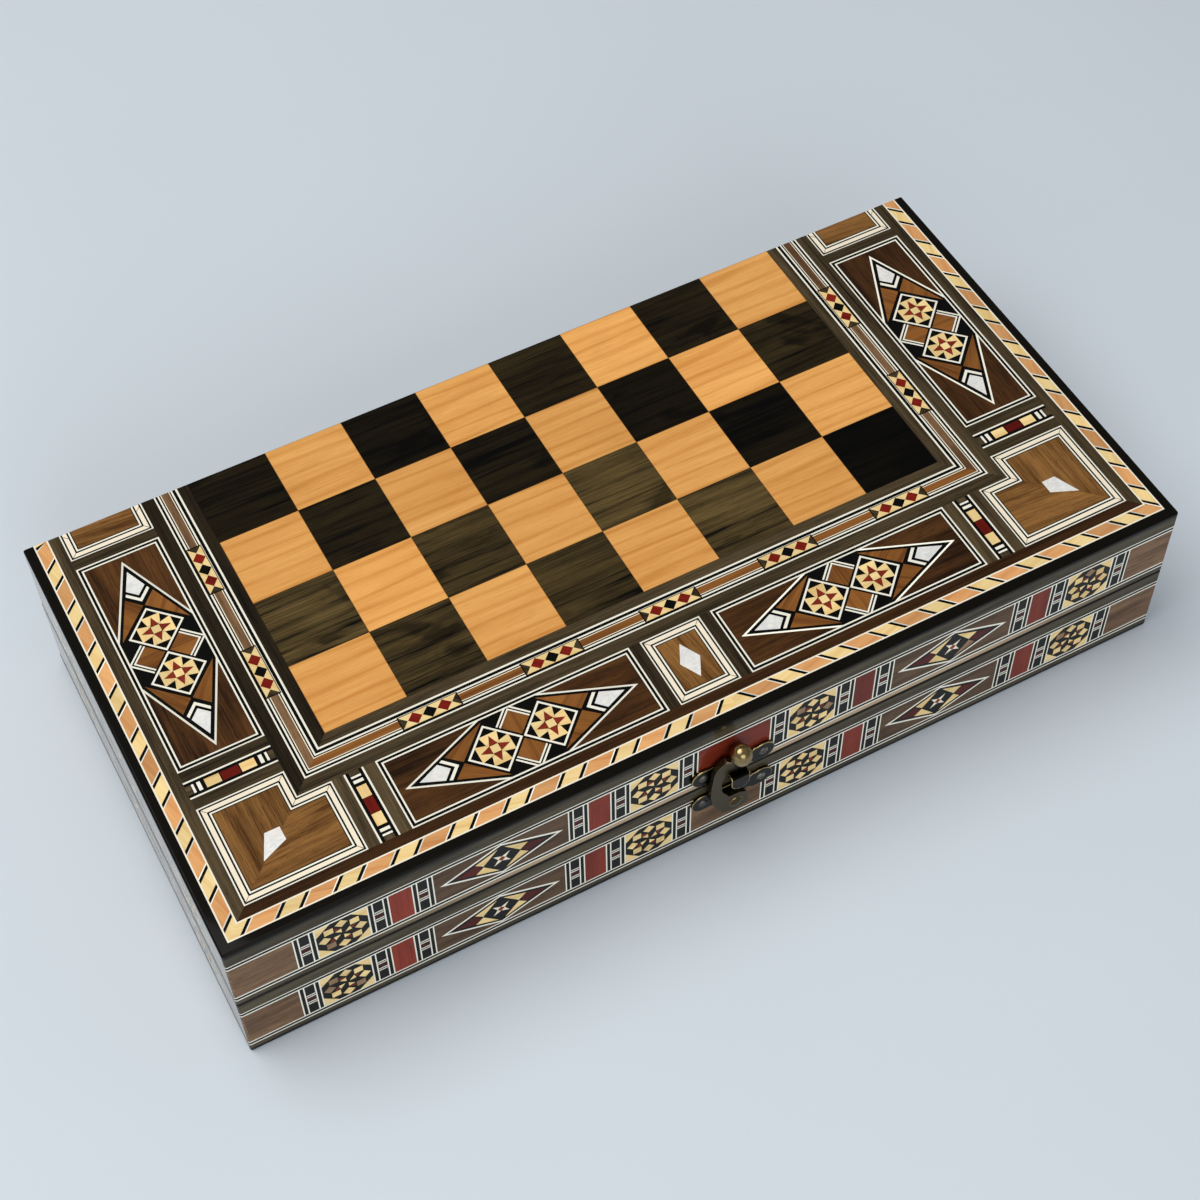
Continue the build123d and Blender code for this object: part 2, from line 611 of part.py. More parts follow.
def knob():
    """A pear-shaped thumb piece that leans outwards from the neck of the hook."""
    length = KNOB_RISE - KNOB_START
    tip, wide, top = (0, 0), (KNOB_RADIUS, length), (0, length + KNOB_RADIUS)
    flank = (0.52 * KNOB_RADIUS, 0.3 * length)
    side = Spline(tip, flank, wide, top, tangents=[(1, 0.3), (-1, 0)])
    pear = revolve(make_face([side, Line(top, tip)]), Axis.Y)
    foot = (HOOK_BACK + HOOK_FRONT) / 2
    lean = degrees(atan2(KNOB_OUT - foot, length))
    return Pos(0, KNOB_START, foot) * Rot(lean, 0, 0) * pear


def latch_hook():
    """The flat hook and the knob that it is turned by."""
    body = Pos(0, 0, HOOK_BACK) * extrude(hook_outline(), HOOK_THICKNESS)
    return Pos(0, -RIVET_DROP, 0) * (body + knob())


def latch_rivet():
    """Shank, the collar that keeps the hook off the plate, and a domed head."""
    head_back = HOOK_FRONT + RUNNING_CLEARANCE
    rivet = Pos(0, 0, head_back / 2) * Cylinder(RIVET_RADIUS, head_back)
    rivet += Pos(0, 0, LATCH_PLATE + COLLAR / 2) * Cylinder(COLLAR_RADIUS, COLLAR)
    ball_radius = (RIVET_HEAD_RADIUS**2 + RIVET_HEAD**2) / (2 * RIVET_HEAD)
    ball = Pos(0, 0, head_back + RIVET_HEAD - ball_radius) * Sphere(ball_radius)
    head = Pos(0, 0, head_back + RIVET_HEAD / 2) * Cylinder(RIVET_HEAD_RADIUS, RIVET_HEAD)
    return Pos(0, -RIVET_DROP, 0) * (rivet + (ball & head))


# Write every sub-part
for half in ("base", "lid"):
    pilots = latch_pilots(half)
    for name, rail in tray_rails(half).items():
        rail = place(half, rail)
        save(f"{half}_{name}", rail - pilots if name == "front_rail" else rail)
    front_strip, *end_strips = side_strips(half)
    save(f"{half}_front_strip", place(half, front_strip) - pilots)
    save(f"{half}_side_strips", *[place(half, strip) for strip in end_strips])
    save(f"{half}_core_panel", place(half, core_panel()))
    for name, pieces in {**squares(half), **outer_face(), **tray_floor()}.items():
        save(f"{half}_{name}", *[place(half, piece) for piece in pieces])
    spots = hinge_screw_spots(-HINGE_POSITION) + hinge_screw_spots(HINGE_POSITION)
    save(f"hinge_{half}_screws", *[place(half, Pos(*spot) * hinge_screw()) for spot in spots])
    for side, x in (("left", -HINGE_POSITION), ("right", HINGE_POSITION)):
        save(f"{side}_hinge_{half}_leaf", place(half, hinge_leaf(half, x)))
    screws = [LATCH_FRAME * Pos(*spot) * latch_screw() for spot in latch_screw_spots(half)]
    save(f"latch_{half}_screws", *screws)

save("left_hinge_pin", hinge_pin(-HINGE_POSITION))
save("right_hinge_pin", hinge_pin(HINGE_POSITION))
save("latch_base_plate", LATCH_FRAME * base_plate())
save("latch_lid_plate", LATCH_FRAME * lid_plate())
save("latch_rivet", LATCH_FRAME * latch_rivet())
save("latch_hook", LATCH_FRAME * latch_hook())
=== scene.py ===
"""Chess box with a hinged lid: woods, inlays, brass fittings and studio, laid out as an add-on.

Flat patterns are drawn in millimetres on the sheet of the face that carries them, and every
cut piece becomes a thin closed prism in metres, let into the rails like real marquetry.
"""

import math
from types import SimpleNamespace

import bmesh
import bpy
import numpy as np
from bpy.props import FloatProperty, FloatVectorProperty, PointerProperty
from bpy.types import Operator, Panel, PropertyGroup
from mathutils import Matrix, Quaternion, Vector


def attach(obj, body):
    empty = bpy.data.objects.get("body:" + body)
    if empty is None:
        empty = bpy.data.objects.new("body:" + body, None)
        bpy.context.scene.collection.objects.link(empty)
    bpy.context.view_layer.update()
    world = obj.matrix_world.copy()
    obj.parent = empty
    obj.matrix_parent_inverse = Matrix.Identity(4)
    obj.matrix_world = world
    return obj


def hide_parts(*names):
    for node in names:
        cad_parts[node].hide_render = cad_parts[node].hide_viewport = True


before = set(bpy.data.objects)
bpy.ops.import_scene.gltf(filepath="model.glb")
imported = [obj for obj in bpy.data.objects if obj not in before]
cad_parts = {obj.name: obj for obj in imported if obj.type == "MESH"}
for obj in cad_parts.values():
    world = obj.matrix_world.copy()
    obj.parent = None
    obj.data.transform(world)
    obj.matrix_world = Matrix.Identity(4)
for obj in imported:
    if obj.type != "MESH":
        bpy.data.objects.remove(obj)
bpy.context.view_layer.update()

bl_info = {
    "name": "Inlaid Chess Box",
    "version": (1, 0, 0),
    "blender": (4, 5, 0),
    "location": "3D View > Sidebar > Chess Box",
    "description": "Dresses an inlaid folding chess box in woods, bone, pearl and old brass",
    "category": "Add Mesh",
}

MM = 0.001
HALVES = ("lid", "base")
SIDES = (-1, 1)
BONE, EBONY, YELLOW, BROWN = "bone_lines", "ebony_lines", "yellow_blocks", "brown_blocks"
RED, WALNUT, BAND, PEARL = "red_blocks", "walnut_panels", "dark_bands", "pearl_inlays"


def linear(red, green, blue):
    """Scene-linear colour of an sRGB colour given in 0 to 255."""
    code = np.array([red, green, blue]) / 255
    light = np.where(code <= 0.04045, code / 12.92, ((code + 0.055) / 1.055) ** 2.4)
    return tuple(light.tolist())


# Settings shown in the panel
def length(name, millimetres, description):
    return FloatProperty(
        name=name, description=description, default=millimetres * MM, min=0, unit="LENGTH"
    )


def colour(name, code, description):
    look = {"size": 3, "min": 0, "max": 1, "subtype": "COLOR"}
    return FloatVectorProperty(name=name, description=description, default=linear(*code), **look)


class FaceSizes(PropertyGroup):
    """Widths of the outer face's parts, the same as the solids'."""

    width: length("Width", 303, "Box along the hinge")
    half_height: length("Half height", 28.2, "One tray, from its outer face to the seam")
    lip: length("Lip", 3.1, "Rail wood that frames the outer face")
    rope: length("Rope", 4.5, "Slanted-block band")
    outer_band: length("Outer band", 3.4, "Dark band inside the rope")
    panel_width: length("Panel width", 25.7, "Panels of a side column")
    panel_depth: length("Panel depth", 24.2, "Panels of the front row")
    field_band: length("Field band", 4.0, "Dark band inside the panels")
    field_frame: length("Field frame", 7.4, "Lined frame round the inner band")
    inner_band: length("Inner band", 3.4, "Dark band round the squares")
    divider: length("Divider", 3.5, "Dark bar between two panels")
    centre_panel: length("Centre panel", 19.3, "Middle panel of the front row")
    small_strip: length("Small strip", 5.9, "Barred strip beside a corner")
    corner_x: length("Corner along front", 35.8, "Corner panel along the front")
    corner_y: length("Corner along side", 33.3, "Corner panel along the side")
    end_panel: length("End panel", 10.6, "Half panel at the hinge edge")


class WoodColours(PropertyGroup):
    """Colours of the woods, bone and pearl."""

    # also the colour of the painted shade along the seam of the rails
    lip: colour("Lip", (12, 9, 5), "Dark edge round the outer face")
    sap: colour("Sapwood", (188, 162, 132), "Pale streak of the lid's front rail")
    bone: colour("Line", (250, 246, 230), "Thin pale lines")
    bone_band: colour("Bone band", (252, 240, 216), "Wide pale bands")
    pearl: colour("Pearl", (244, 243, 238), "Mother of pearl")


# Each wood's pieces, and the pale and the deep colour of its figure
WOODS = {
    "light": ("light squares", (248, 186, 108), (208, 138, 66)),
    "dark": ("dark squares", (94, 77, 44), (8, 6, 4)),
    "rail": ("rails", (86, 78, 58), (36, 30, 22)),
    "board": ("hidden boards", (206, 172, 124), (168, 130, 84)),
    "band": ("dark bands", (86, 72, 50), (26, 20, 13)),
    "walnut": ("long panels", (94, 60, 30), (38, 21, 10)),
    "burl": ("corner panels", (148, 104, 56), (78, 48, 20)),
    "grey": ("upright strips' panels", (138, 106, 76), (86, 60, 40)),
    "ebony": ("black lines", (10, 9, 8), (3, 2, 2)),
    "yellow": ("yellow blocks", (250, 226, 166), (226, 186, 118)),
    "umber": ("odd yellow block", (158, 128, 96), (122, 94, 66)),
    "orange": ("rope's blocks", (228, 172, 114), (198, 134, 80)),
    "brown": ("brown blocks", (152, 98, 46), (94, 54, 24)),
    "red": ("red diamonds", (140, 34, 22), (70, 6, 4)),
    "mahogany": ("red blocks", (142, 53, 34), (98, 32, 19)),
    "floor": ("tray floors", (150, 108, 66), (92, 58, 30)),
    "dark_point": ("dark points", (70, 52, 34), (26, 17, 10)),
    "light_point": ("light points", (240, 206, 146), (206, 158, 94)),
}
for wood, (pieces, *codes) in WOODS.items():
    for shade, code in zip(("pale", "deep"), codes):
        label = f"{wood} {shade}".replace("_", " ").capitalize()
        item = colour(label, code, f"{shade.title()} figure of the {pieces}")
        WoodColours.__annotations__[f"{wood}_{shade}"] = item


def pair(colours, wood):
    """Pale and deep colour of a wood."""
    return tuple(getattr(colours, f"{wood}_pale")), tuple(getattr(colours, f"{wood}_deep"))


class MetalColours(PropertyGroup):
    """Colours of the fittings."""

    brass: colour("Brass", (188, 164, 112), "Brass where it is rubbed bright")
    patina: colour("Patina", (76, 66, 45), "Brown skin of old brass")
    # the plates' near-black is partly their real blackened skin and partly a painted dark
    # reflection of the room in their metal
    black: colour("Blackened brass", (20, 16, 11), "Dark skin of the latch's plates")
    steel: colour("Screw", (150, 146, 138), "Plated screws where they are rubbed bright")
    dull: colour("Dull screw", (92, 88, 82), "Grey skin of the plated screws")


class StageSettings(PropertyGroup):
    """Floor, lamps and camera."""

    floor: colour("Floor", (212, 220, 229), "Plain pale floor")
    key: FloatProperty(name="Key", description="Key lamp", default=14.0, min=0, unit="POWER")
    fill: FloatProperty(name="Fill", description="Fill lamp", default=10.0, min=0, unit="POWER")
    sky: FloatProperty(name="Sky", description="Strength of the plain sky", default=0.3, min=0)
    lens: FloatProperty(name="Lens", description="Camera lens in mm", default=68.365, min=1)


class Layout:
    """Places in millimetres: half widths from the middle and depths from the hinge edge. The
    field is as deep as half its width."""

    def __init__(self, sizes):
        for name in FaceSizes.__annotations__:
            setattr(self, name, getattr(sizes, name) / MM)
        self.height = 2 * self.half_height
        self.edge = self.width / 2
        self.rope_half = self.edge - self.lip
        self.band_half = self.rope_half - self.rope
        self.row_half = self.band_half - self.outer_band
        self.field_half = self.row_half - self.panel_width
        self.frame_half = self.field_half - self.field_band
        self.inner_half = self.frame_half - self.field_frame
        self.squares_half = self.inner_half - self.inner_band
        self.square = self.squares_half / 4
        self.row_depth = self.field_half + self.panel_depth
        self.band_depth = self.row_depth + self.outer_band
        self.rope_depth = self.band_depth + self.rope
        self.depth = self.rope_depth + self.lip
        self.row_middle = (self.field_half + self.row_depth) / 2
        self.column_middle = (self.field_half + self.row_half) / 2
        self.centre_end = self.centre_panel / 2
        self.front = self.run(self.centre_end, self.row_half - self.corner_x)
        self.side = self.run(self.end_panel, self.row_depth - self.corner_y)

    def run(self, start, corner):
        """The long panel's ends, the starts of the small strip and the corner panel, and those of
        the bars between them, from the end of a first panel."""
        strip = corner - self.divider - self.small_strip
        long = (start + self.divider, strip - self.divider)
        bars = (start, long[1], corner - self.divider)
        return SimpleNamespace(long=long, strip=strip, corner=corner, bars=bars)


# Sheets: rows are the directions of a, of b and of depth, and the sheet's corner, in millimetres
def face_sheet(half, box):
    """An outer face: a runs along the hinge from the middle and b from the hinge edge."""
    top, inward = (box.height, -1) if half == "lid" else (0, 1)
    return np.array([(1, 0, 0), (0, -1, 0), (0, 0, inward), (0, box.depth / 2, top)], float)


def front_sheet(box):
    return np.array([(1, 0, 0), (0, 0, 1), (0, 1, 0), (0, -box.depth / 2, 0)], float)


def end_sheet(side, box):
    """An end of the box: a runs from the hinge edge to the front and b upwards."""
    corner = (side * box.edge, box.depth / 2, 0)
    return np.array([(0, -1, 0), (0, 0, 1), (-side, 0, 0), corner], float)


UPRIGHT_SHEET = np.eye(4, 3)
# The lowest cut lies this deep, each level lies one layer higher, and all end at one back
GROUND_DEPTH, LAYER, VENEER_BACK = 0.16, 0.014, 0.6
ODD_SHARE = 0.16


class Cuttings:
    """The outlines cut from each wood for one tray."""

    def __init__(self, seed, sheet):
        self.chance = np.random.default_rng(seed)
        self.woods = {}
        self.sheet = sheet

    def cut(self, wood, corners, level=10, grain=0.0, tone=None, kind=0.0, depths=None):
        """Adds one outline at a level or between two depths. A tone of None is drawn by chance,
        and so is a kind of None."""
        top, back = depths or (GROUND_DEPTH - LAYER * level, VENEER_BACK)
        if tone is None:
            tone = self.chance.uniform(-1, 1)
        if kind is None:
            kind = float(self.chance.random() < ODD_SHARE)
        piece = (np.asarray(corners, float), self.sheet, top, back, grain, tone, kind)
        self.woods.setdefault(wood, []).append(piece)


def laid(cut, centre, upright=False, turn=0):
    """A cut for patterns drawn round their own middle, lying along a or standing along b."""

    def lay(wood, corners, level, grain=0, **how):
        points = np.asarray(corners, float)[:, :: -1 if upright else 1]
        cut(wood, points + centre, level, grain=grain + turn, **how)

    return lay


# Outlines
def rectangle(a0, a1, b0, b1):
    return np.array([(a0, b0), (a1, b0), (a1, b1), (a0, b1)], float)


def centred(half_a, half_b):
    return rectangle(-half_a, half_a, -half_b, half_b)


def diamond(a, b, half_a, half_b):
    return np.array([(a + half_a, b), (a, b + half_b), (a - half_a, b), (a, b - half_b)], float)


def turn_sign(outlines):
    """Plus one for an outline that runs anticlockwise, from the sum of its edges' cross
    products, and minus one for another."""
    ends = np.roll(outlines, -1, -2)
    crossed = outlines[..., 0] * ends[..., 1] - ends[..., 0] * outlines[..., 1]
    return np.sign(np.sum(crossed, -1))


def inset(corners, distance):
    """Each edge moved inwards by the distance: a corner moves along the sum of its two edges'
    inward normals, divided by one plus their dot product."""
    points = np.asarray(corners, float)
    ends = np.roll(points, -1, 0)
    along = (ends - points) / np.linalg.norm(ends - points, axis=1)[:, None]
    inward = np.stack([-along[:, 1], along[:, 0]], 1) * turn_sign(points)
    before = np.roll(inward, 1, 0)
    spread = 1 + np.sum(inward * before, 1)[:, None]
    return points + (inward + before) / spread * distance


def turned(corners, degrees):
    cosine, sine = math.cos(math.radians(degrees)), math.sin(math.radians(degrees))
    return np.asarray(corners, float) @ np.array([(cosine, sine), (-sine, cosine)])


def flipped(corners, across=-1, down=1):
    return np.asarray(corners, float) * (across, down)


def u_band(half, depth, wide):
    """Left, right and front strips of a U that is open to the hinge edge, mitred, with the
    direction of each one's grain."""
    half_in, depth_in = half - wide, depth - wide
    side = np.array([(half_in, 0), (half, 0), (half, depth), (half_in, depth_in)])
    front = np.array([(-half_in, depth_in), (half_in, depth_in), (half, depth), (-half, depth)])
    return (flipped(side), 90), (side, 90), (front, 0)


# Patterns of the outer face
ROPE_LINE = 0.45
ROPE = ((YELLOW, 5.45), (EBONY, 1.2), (BONE, 0.45), (BROWN, 7.75), (BONE, 0.45), (EBONY, 1.2))
ROPE_ROUNDS = 12
MITRE = 3.7
# side, and where its rows of blocks start in front of the middle and before the hinge edge
ROPE_STARTS = ((-1, -1.8 - MITRE, -6.4), (1, -1.8 + MITRE, -11.5))


def slanted_blocks(cuts, low, high, core, mitred=False):
    """Wood and outline of each block in a row. The cuts between blocks run at 45 degrees, so a
    cut's outer end is the core's width beyond its inner one. A mitred row starts straight."""
    for index, (start, end) in enumerate(zip(cuts, cuts[1:])):
        outer = np.clip((start + core, end + core), low, high)
        inner = np.clip((start, end), low, high - core)
        if mitred and not index:
            outer[0] = inner[0] = start
        if outer[1] > low and start < high - core:
            corners = [(outer[0], 0), (outer[1], 0), (inner[1], core), (inner[0], core)]
            yield ROPE[index % len(ROPE)][0], np.array(corners)


def cut_rope(cut, box):
    """Slanted blocks between two thin lines. A cut's place is the sum of the blocks before it."""
    for inwards in (0, box.rope - ROPE_LINE):
        for corners, grain in u_band(box.rope_half - inwards, box.rope_depth - inwards, ROPE_LINE):
            cut(BONE, corners, grain=grain, kind=0.6, tone=0)
    core = box.rope - 2 * ROPE_LINE
    half, depth = box.rope_half - ROPE_LINE, box.rope_depth - ROPE_LINE
    places = np.cumsum([0] + [size for _, size in ROPE] * ROPE_ROUNDS) - core / 2
    for side, front_start, side_start in ROPE_STARTS:
        front = np.append(MITRE * side, places[1:] + front_start)
        for wood, block in slanted_blocks(front, -half, half, core, True):
            cut(wood, flipped(block * (1, -1) + (0, depth), side), grain=-15 * side)
        for wood, block in slanted_blocks(places + side_start, 0, depth, core):
            cut(wood, flipped(block[:, ::-1] * (-1, 1) + (half, 0), side), grain=-75 * side)


def cut_bands(cut, box):
    """Dark bands with the tones of their left, right and front strips, and the dividing bars.
    The outer band's front strip is of walnut."""
    # each band's tones for its left, right and front strip paint the sheen that makes one side's
    # strips look darker
    for half, depth, wide, tones in (
        (box.band_half, box.band_depth, box.outer_band, (0.3, 0.1, -1.1)),
        (box.field_half, box.field_half, box.field_band, (-1.7, 0.2, 0.3)),
        (box.inner_half, box.inner_half, box.inner_band, (-1.7, 0.5, 0.5)),
    ):
        for (corners, grain), tone in zip(u_band(half, depth, wide), tones):
            walnut = half == box.band_half and grain == 0
            cut(BAND, corners, grain=grain, tone=tone, kind=float(walnut))
    for start, tone in zip(box.front.bars, (-0.9, 1.1, 0.9)):
        bar = rectangle(start, start + box.divider, box.field_half, box.row_depth)
        for side in (1, -1):
            cut(BAND, flipped(bar, side), grain=90, tone=tone)
    for start in box.side.bars:
        bar = rectangle(box.field_half, box.row_half, start, start + box.divider)
        for side in (1, -1):
            cut(BAND, flipped(bar, side), tone=-0.5)


# wood, width and kind of each line of the field frame, from the outside in
FRAME_LINES = ((BONE, 0.5, 0), (EBONY, 0.7, 0), (BONE, 0.5, 0), (EBONY, 0.4, 0), (BONE, 0.25, 1))
FRAME_LINES += ((WALNUT, 2.35, -1), (BONE, 0.25, 1), (EBONY, 0.4, 0))
FRAME_LINES += ((BONE, 0.5, 0), (EBONY, 0.95, 0), (BONE, 0.6, 0))
GROUPS_IN = 3.4
SIDE_GROUPS, FRONT_GROUPS = (32.0, 72.7), (-71.5, -33.5, 4.5, 43.5, 81.5)


def cut_field_frame(cut, box):
    """Nested lines round a strip that is grey at the sides and brown in front, and groups of
    diamonds let into them."""
    half = box.frame_half
    for wood, wide, kind in FRAME_LINES:
        for corners, grain in u_band(half, half, wide):
            if wood != WALNUT:
                cut(wood, corners, 6, grain=grain, kind=kind, tone=0)
            elif grain:
                cut(wood, corners, 6, grain=grain, kind=kind, tone=0.4)
            else:
                cut(BROWN, corners, 6, kind=1, tone=0.3)
        half -= wide
    middle = box.frame_half - GROUPS_IN
    for side in SIDES:
        for b in SIDE_GROUPS:
            cut_diamond_group(laid(cut, (side * middle, b), True, 45))
    for a in FRONT_GROUPS:
        cut_diamond_group(laid(cut, (a, middle), False, 45))


def cut_diamond_group(lay):
    """Two red diamonds and a black one on yellow, with dark ends and a black edge."""
    half_long, half_wide = 8.9, 2.05
    lay(EBONY, centred(9.25, 2.3), 7)
    lay(YELLOW, centred(half_long, half_wide), 8)
    for a in (-4.5, 4.5):
        lay(RED, diamond(a, 0, 2.2, 2.0), 9, tone=0.2)
    lay(EBONY, diamond(0, 0, 2.2, 2.0), 9)
    for side in SIDES:
        end = [(half_long, -half_wide), (6.8, 0), (half_long, half_wide)]
        lay(BAND, flipped(end, side), 9, tone=-0.4)


# wood, distance from the edge and kind of each line round a framed panel
PANEL_LINES = ((BONE, 0, 0), (EBONY, 0.45, 0), (BONE, 0.95, 1))
PANEL_LINES += ((EBONY, 2.25, 0), (BONE, 2.75, 0), (EBONY, 3.25, 0))
PANEL_IN = 3.55


def cut_framed_panel(cut, corners, open_edge=False):
    """Lines round a panel, each one inside the last, with thin brown mitres in the wide one."""
    corners = np.asarray(corners, float)
    for level, (wood, distance, kind) in enumerate(PANEL_LINES, 1):
        shape = inset(corners, distance)
        if open_edge:
            shape[corners[:, 1] == 0, 1] = 0
        cut(wood, shape, level, kind=kind, tone=0)
    half_thick = 0.06
    for near, far in zip(inset(corners, 1.0), inset(corners, 2.2)):
        ahead = (far - near) / np.linalg.norm(far - near) * half_thick
        across = np.array([ahead[1], -ahead[0]])
        cut(BROWN, [near + across, far + across, far - across, near - across], 8, kind=1, tone=-1)


def cut_framed_panels(cut, box):
    """Corner, end and centre panels."""
    field, width, depth = box.field_half, box.row_half, box.row_depth
    corner = [(field, box.side.corner), (width, box.side.corner), (width, depth)]
    corner += [(box.front.corner, depth), (box.front.corner, field), (field, field)]
    inner = inset(corner, PANEL_IN)
    upright, lying = inner[[0, 1, 2, 5]], inner[[5, 2, 3, 4]]
    joint = inner[[5, 2, 2, 5]] + [(0.1, 0), (0, -0.1), (-0.1, 0), (0, 0.1)]
    end = rectangle(field, width, 0, box.end_panel)
    plain = rectangle(field + PANEL_IN, width - PANEL_IN, 0, box.end_panel - PANEL_IN)
    for side in (1, -1):
        cut_framed_panel(cut, flipped(corner, side))
        cut(WALNUT, flipped(upright, side), 7, grain=90, kind=1, tone=-0.2)
        cut(WALNUT, flipped(lying, side), 7, grain=4 * side, kind=1, tone=0.3)
        cut(BROWN, flipped(joint, side), 8, kind=1, tone=-1)
        cut_framed_panel(cut, flipped(end, side), open_edge=True)
        cut(WALNUT, flipped(plain, side), 7, grain=5, kind=1, tone=0.1)
    centre = rectangle(-box.centre_end, box.centre_end, field, depth)
    cut_framed_panel(cut, centre)
    cut(WALNUT, inset(centre, PANEL_IN), 7, grain=82, kind=1, tone=0.4)


# wood, start, end and tone of the bars in half a small strip of the front row
STRIP_BARS = (
    (BAND, 10.7, 12.1, 0.6),
    (BONE, 9.8, 10.45, 0),
    (BONE, 8.0, 9.0, 0),
    (YELLOW, 2.8, 6.9, None),
)


def cut_small_strips(cut, box):
    """Barred strips with a red block in the middle. The bars are spread to the strip's length."""
    half, bar_half, edge = box.small_strip / 2, 1.45, 0.55
    for side in SIDES:
        for centre, upright, reach in (
            ((side * (box.front.strip + half), box.row_middle), True, box.panel_depth / 2),
            ((side * box.column_middle, box.side.strip + half), False, box.panel_width / 2),
        ):
            lay = laid(cut, centre, upright, 90 * upright)
            lay(BONE, centred(reach, half), 6, tone=0)
            lay(EBONY, centred(reach, half - edge), 7)
            lay(RED, centred(2.6, bar_half), 8, tone=-0.9)
            grow = reach / STRIP_BARS[0][2]
            for wood, start, end, tone in STRIP_BARS:
                bar = rectangle(start * grow, end * grow, -bar_half, bar_half)
                for flip in SIDES:
                    lay(wood, flipped(bar, flip), 8, tone=tone)


def cut_star_square(lay):
    """A tilted square with a white edge, and in it a yellow cross with red points."""
    arm = [(-1.9, 1.9), (1.9, 1.9), (2.75, 5.1), (-2.75, 5.1)]
    point = [(-1.3, 1.35), (1.3, 1.35), (0, 4.5)]
    line = rectangle(-1.45, 1.45, 1.25, 1.4)
    lay(BONE, diamond(0, 0, 8.4, 8.4), 7, tone=0)
    lay(EBONY, diamond(0, 0, 7.55, 7.55), 8)
    lay(YELLOW, centred(1.95, 1.95), 9)
    for angle in (0, 90, 180, 270):
        lay(YELLOW, turned(arm, angle), 9)
        lay(RED, turned(point, angle), 10, kind=0.75, tone=0.3)
    for angle in (0, 90):
        for flip in (1, -1):
            lay(EBONY, turned(flipped(line, 1, flip), angle), 10)


# The pearl kites: length, width and place of the widest point, from the sharp tip
KITE, CORNER_KITE = (9.4, 5.7, 6.6), (11.1, 6.3, 8.0)
KITE_IN, CORNER_KITE_IN = 7.8, 9.9
# level, wood, distance from the edge and tone of the lines round a long panel, and of its ground
LONG_LINES = ((1, BONE, 0, 0), (2, EBONY, 0.5, None), (3, BONE, 1.3, 0), (4, EBONY, 1.8, None))
LONG_LINES += ((4.5, WALNUT, 1.95, None),)


def cut_long_panel(cut, side, start, end, across, half_wide, upright=False):
    """A six-sided black field with two star squares, brown diamonds between them, and a chevron
    and brown wedges behind each kite."""
    centre = side * (start + end) / 2, across
    if upright:
        centre = side * across, (start + end) / 2
    lay = laid(cut, centre, upright, 90 * upright)
    half_long = (end - start) / 2
    outline = centred(half_long, half_wide)
    for level, wood, distance, tone in LONG_LINES:
        lay(wood, inset(outline, distance), level, tone=tone)
    tall = half_wide - 1.8
    tip, shoulder = half_long - 3.5, 10.2
    slope = tall / (tip - shoulder)
    for level, wood, shift in ((5, BONE, 0), (6, EBONY, 1.5)):
        right = np.array([(shoulder, tall), (tip, 0), (shoulder, -tall)]) - (shift, 0)
        lay(wood, np.concatenate([right, -right]), level)
    black_tip = tip - 3.6
    point = half_long - KITE_IN - KITE[0] - 2.5
    arm = [(-point, 0), (-point - 3.55, 3.6), (-point - 4.45, 3.2), (-point - 1.25, 0)]
    # the wedge's upper edge runs along the field's slope
    wedge = [(-18.1, 0.25)]
    wedge += [(-a, slope * (black_tip - a) - 0.05) for a in (8.4, point + 2.55)]
    for side in SIDES:
        for flip in (1, -1):
            lay(BONE, flipped(arm, -side, flip), 7, tone=0)
            lay(BROWN, flipped(wedge, -side, flip), 7, grain=35 * flip, kind=1)
        cut_star_square(laid(lay, (side * 8.55, 0)))
    inner = [(0, 9.5), (0, 10.2), (-4.75, 5.45), (-4.4, 5.1)]
    outer = [(10.85 - tall, tall), (11.6 - tall, tall), (5.45, 6.15), (5.07, 5.78)]
    for flip in (1, -1):
        lay(BROWN, diamond(0, 5.05 * flip, 4.3, 4.3), 7, grain=90, kind=1)
        for side in SIDES:
            lay(BONE, flipped(inner, side, flip), 7, tone=0)
            lay(BONE, flipped(outer, -side, flip), 7, tone=0)


def kite(tip, angle, size, width, shoulder):
    """A kite from its sharp tip at an angle to a, widest at the shoulder."""
    outline = [(0, 0), (shoulder, width / 2), (size, 0), (shoulder, -width / 2)]
    return turned(outline, angle) + tip


def cut_pearl(cut, box):
    """Kites in the long panels and the corner panels, and a lozenge in the centre panel."""
    row, column = box.row_middle, box.column_middle
    (left, right), (back, front) = box.front.long, box.side.long
    corner = (box.row_half - CORNER_KITE_IN, box.row_depth - CORNER_KITE_IN)
    kites = [
        kite((left + KITE_IN, row), 0, *KITE),
        kite((right - KITE_IN, row), 180, *KITE),
        kite((column, back + KITE_IN), 90, *KITE),
        kite((column, front - KITE_IN), 270, *KITE),
        kite(corner, 225, *CORNER_KITE),
    ]
    for side in SIDES:
        for corners in kites:
            cut(PEARL, flipped(corners, side))
    cut(PEARL, diamond(0, row, 3.2, 6.2))


def cut_face(cut, box):
    cut_rope(cut, box)
    cut_bands(cut, box)
    cut_field_frame(cut, box)
    cut_framed_panels(cut, box)
    cut_small_strips(cut, box)
    for side in SIDES:
        cut_long_panel(cut, side, *box.front.long, box.row_middle, box.panel_depth / 2)
        cut_long_panel(cut, side, *box.side.long, box.column_middle, box.panel_width / 2, True)
    cut_pearl(cut, box)


# Patterns of the upright strips, drawn round their own middles. a runs along the strip, b up
def cut_ladder(lay, half):
    """Black and white uprights beside a black core with pale rungs and a red middle."""
    core = 1.3
    lay(EBONY, centred(3.2, half), 6)
    for start in (-3.2, -1.8, 1.4, 2.8):
        lay(BONE, rectangle(start, start + 0.4, -half, half), 7, tone=0)
    for flip in SIDES:
        for low, high in ((1.15, 1.6), (2.15, 2.6)):
            lay(BONE, flipped(rectangle(-core, core, low, high), 1, flip), 7, tone=0)
    lay(RED, centred(core, 0.85), 7, tone=-2)


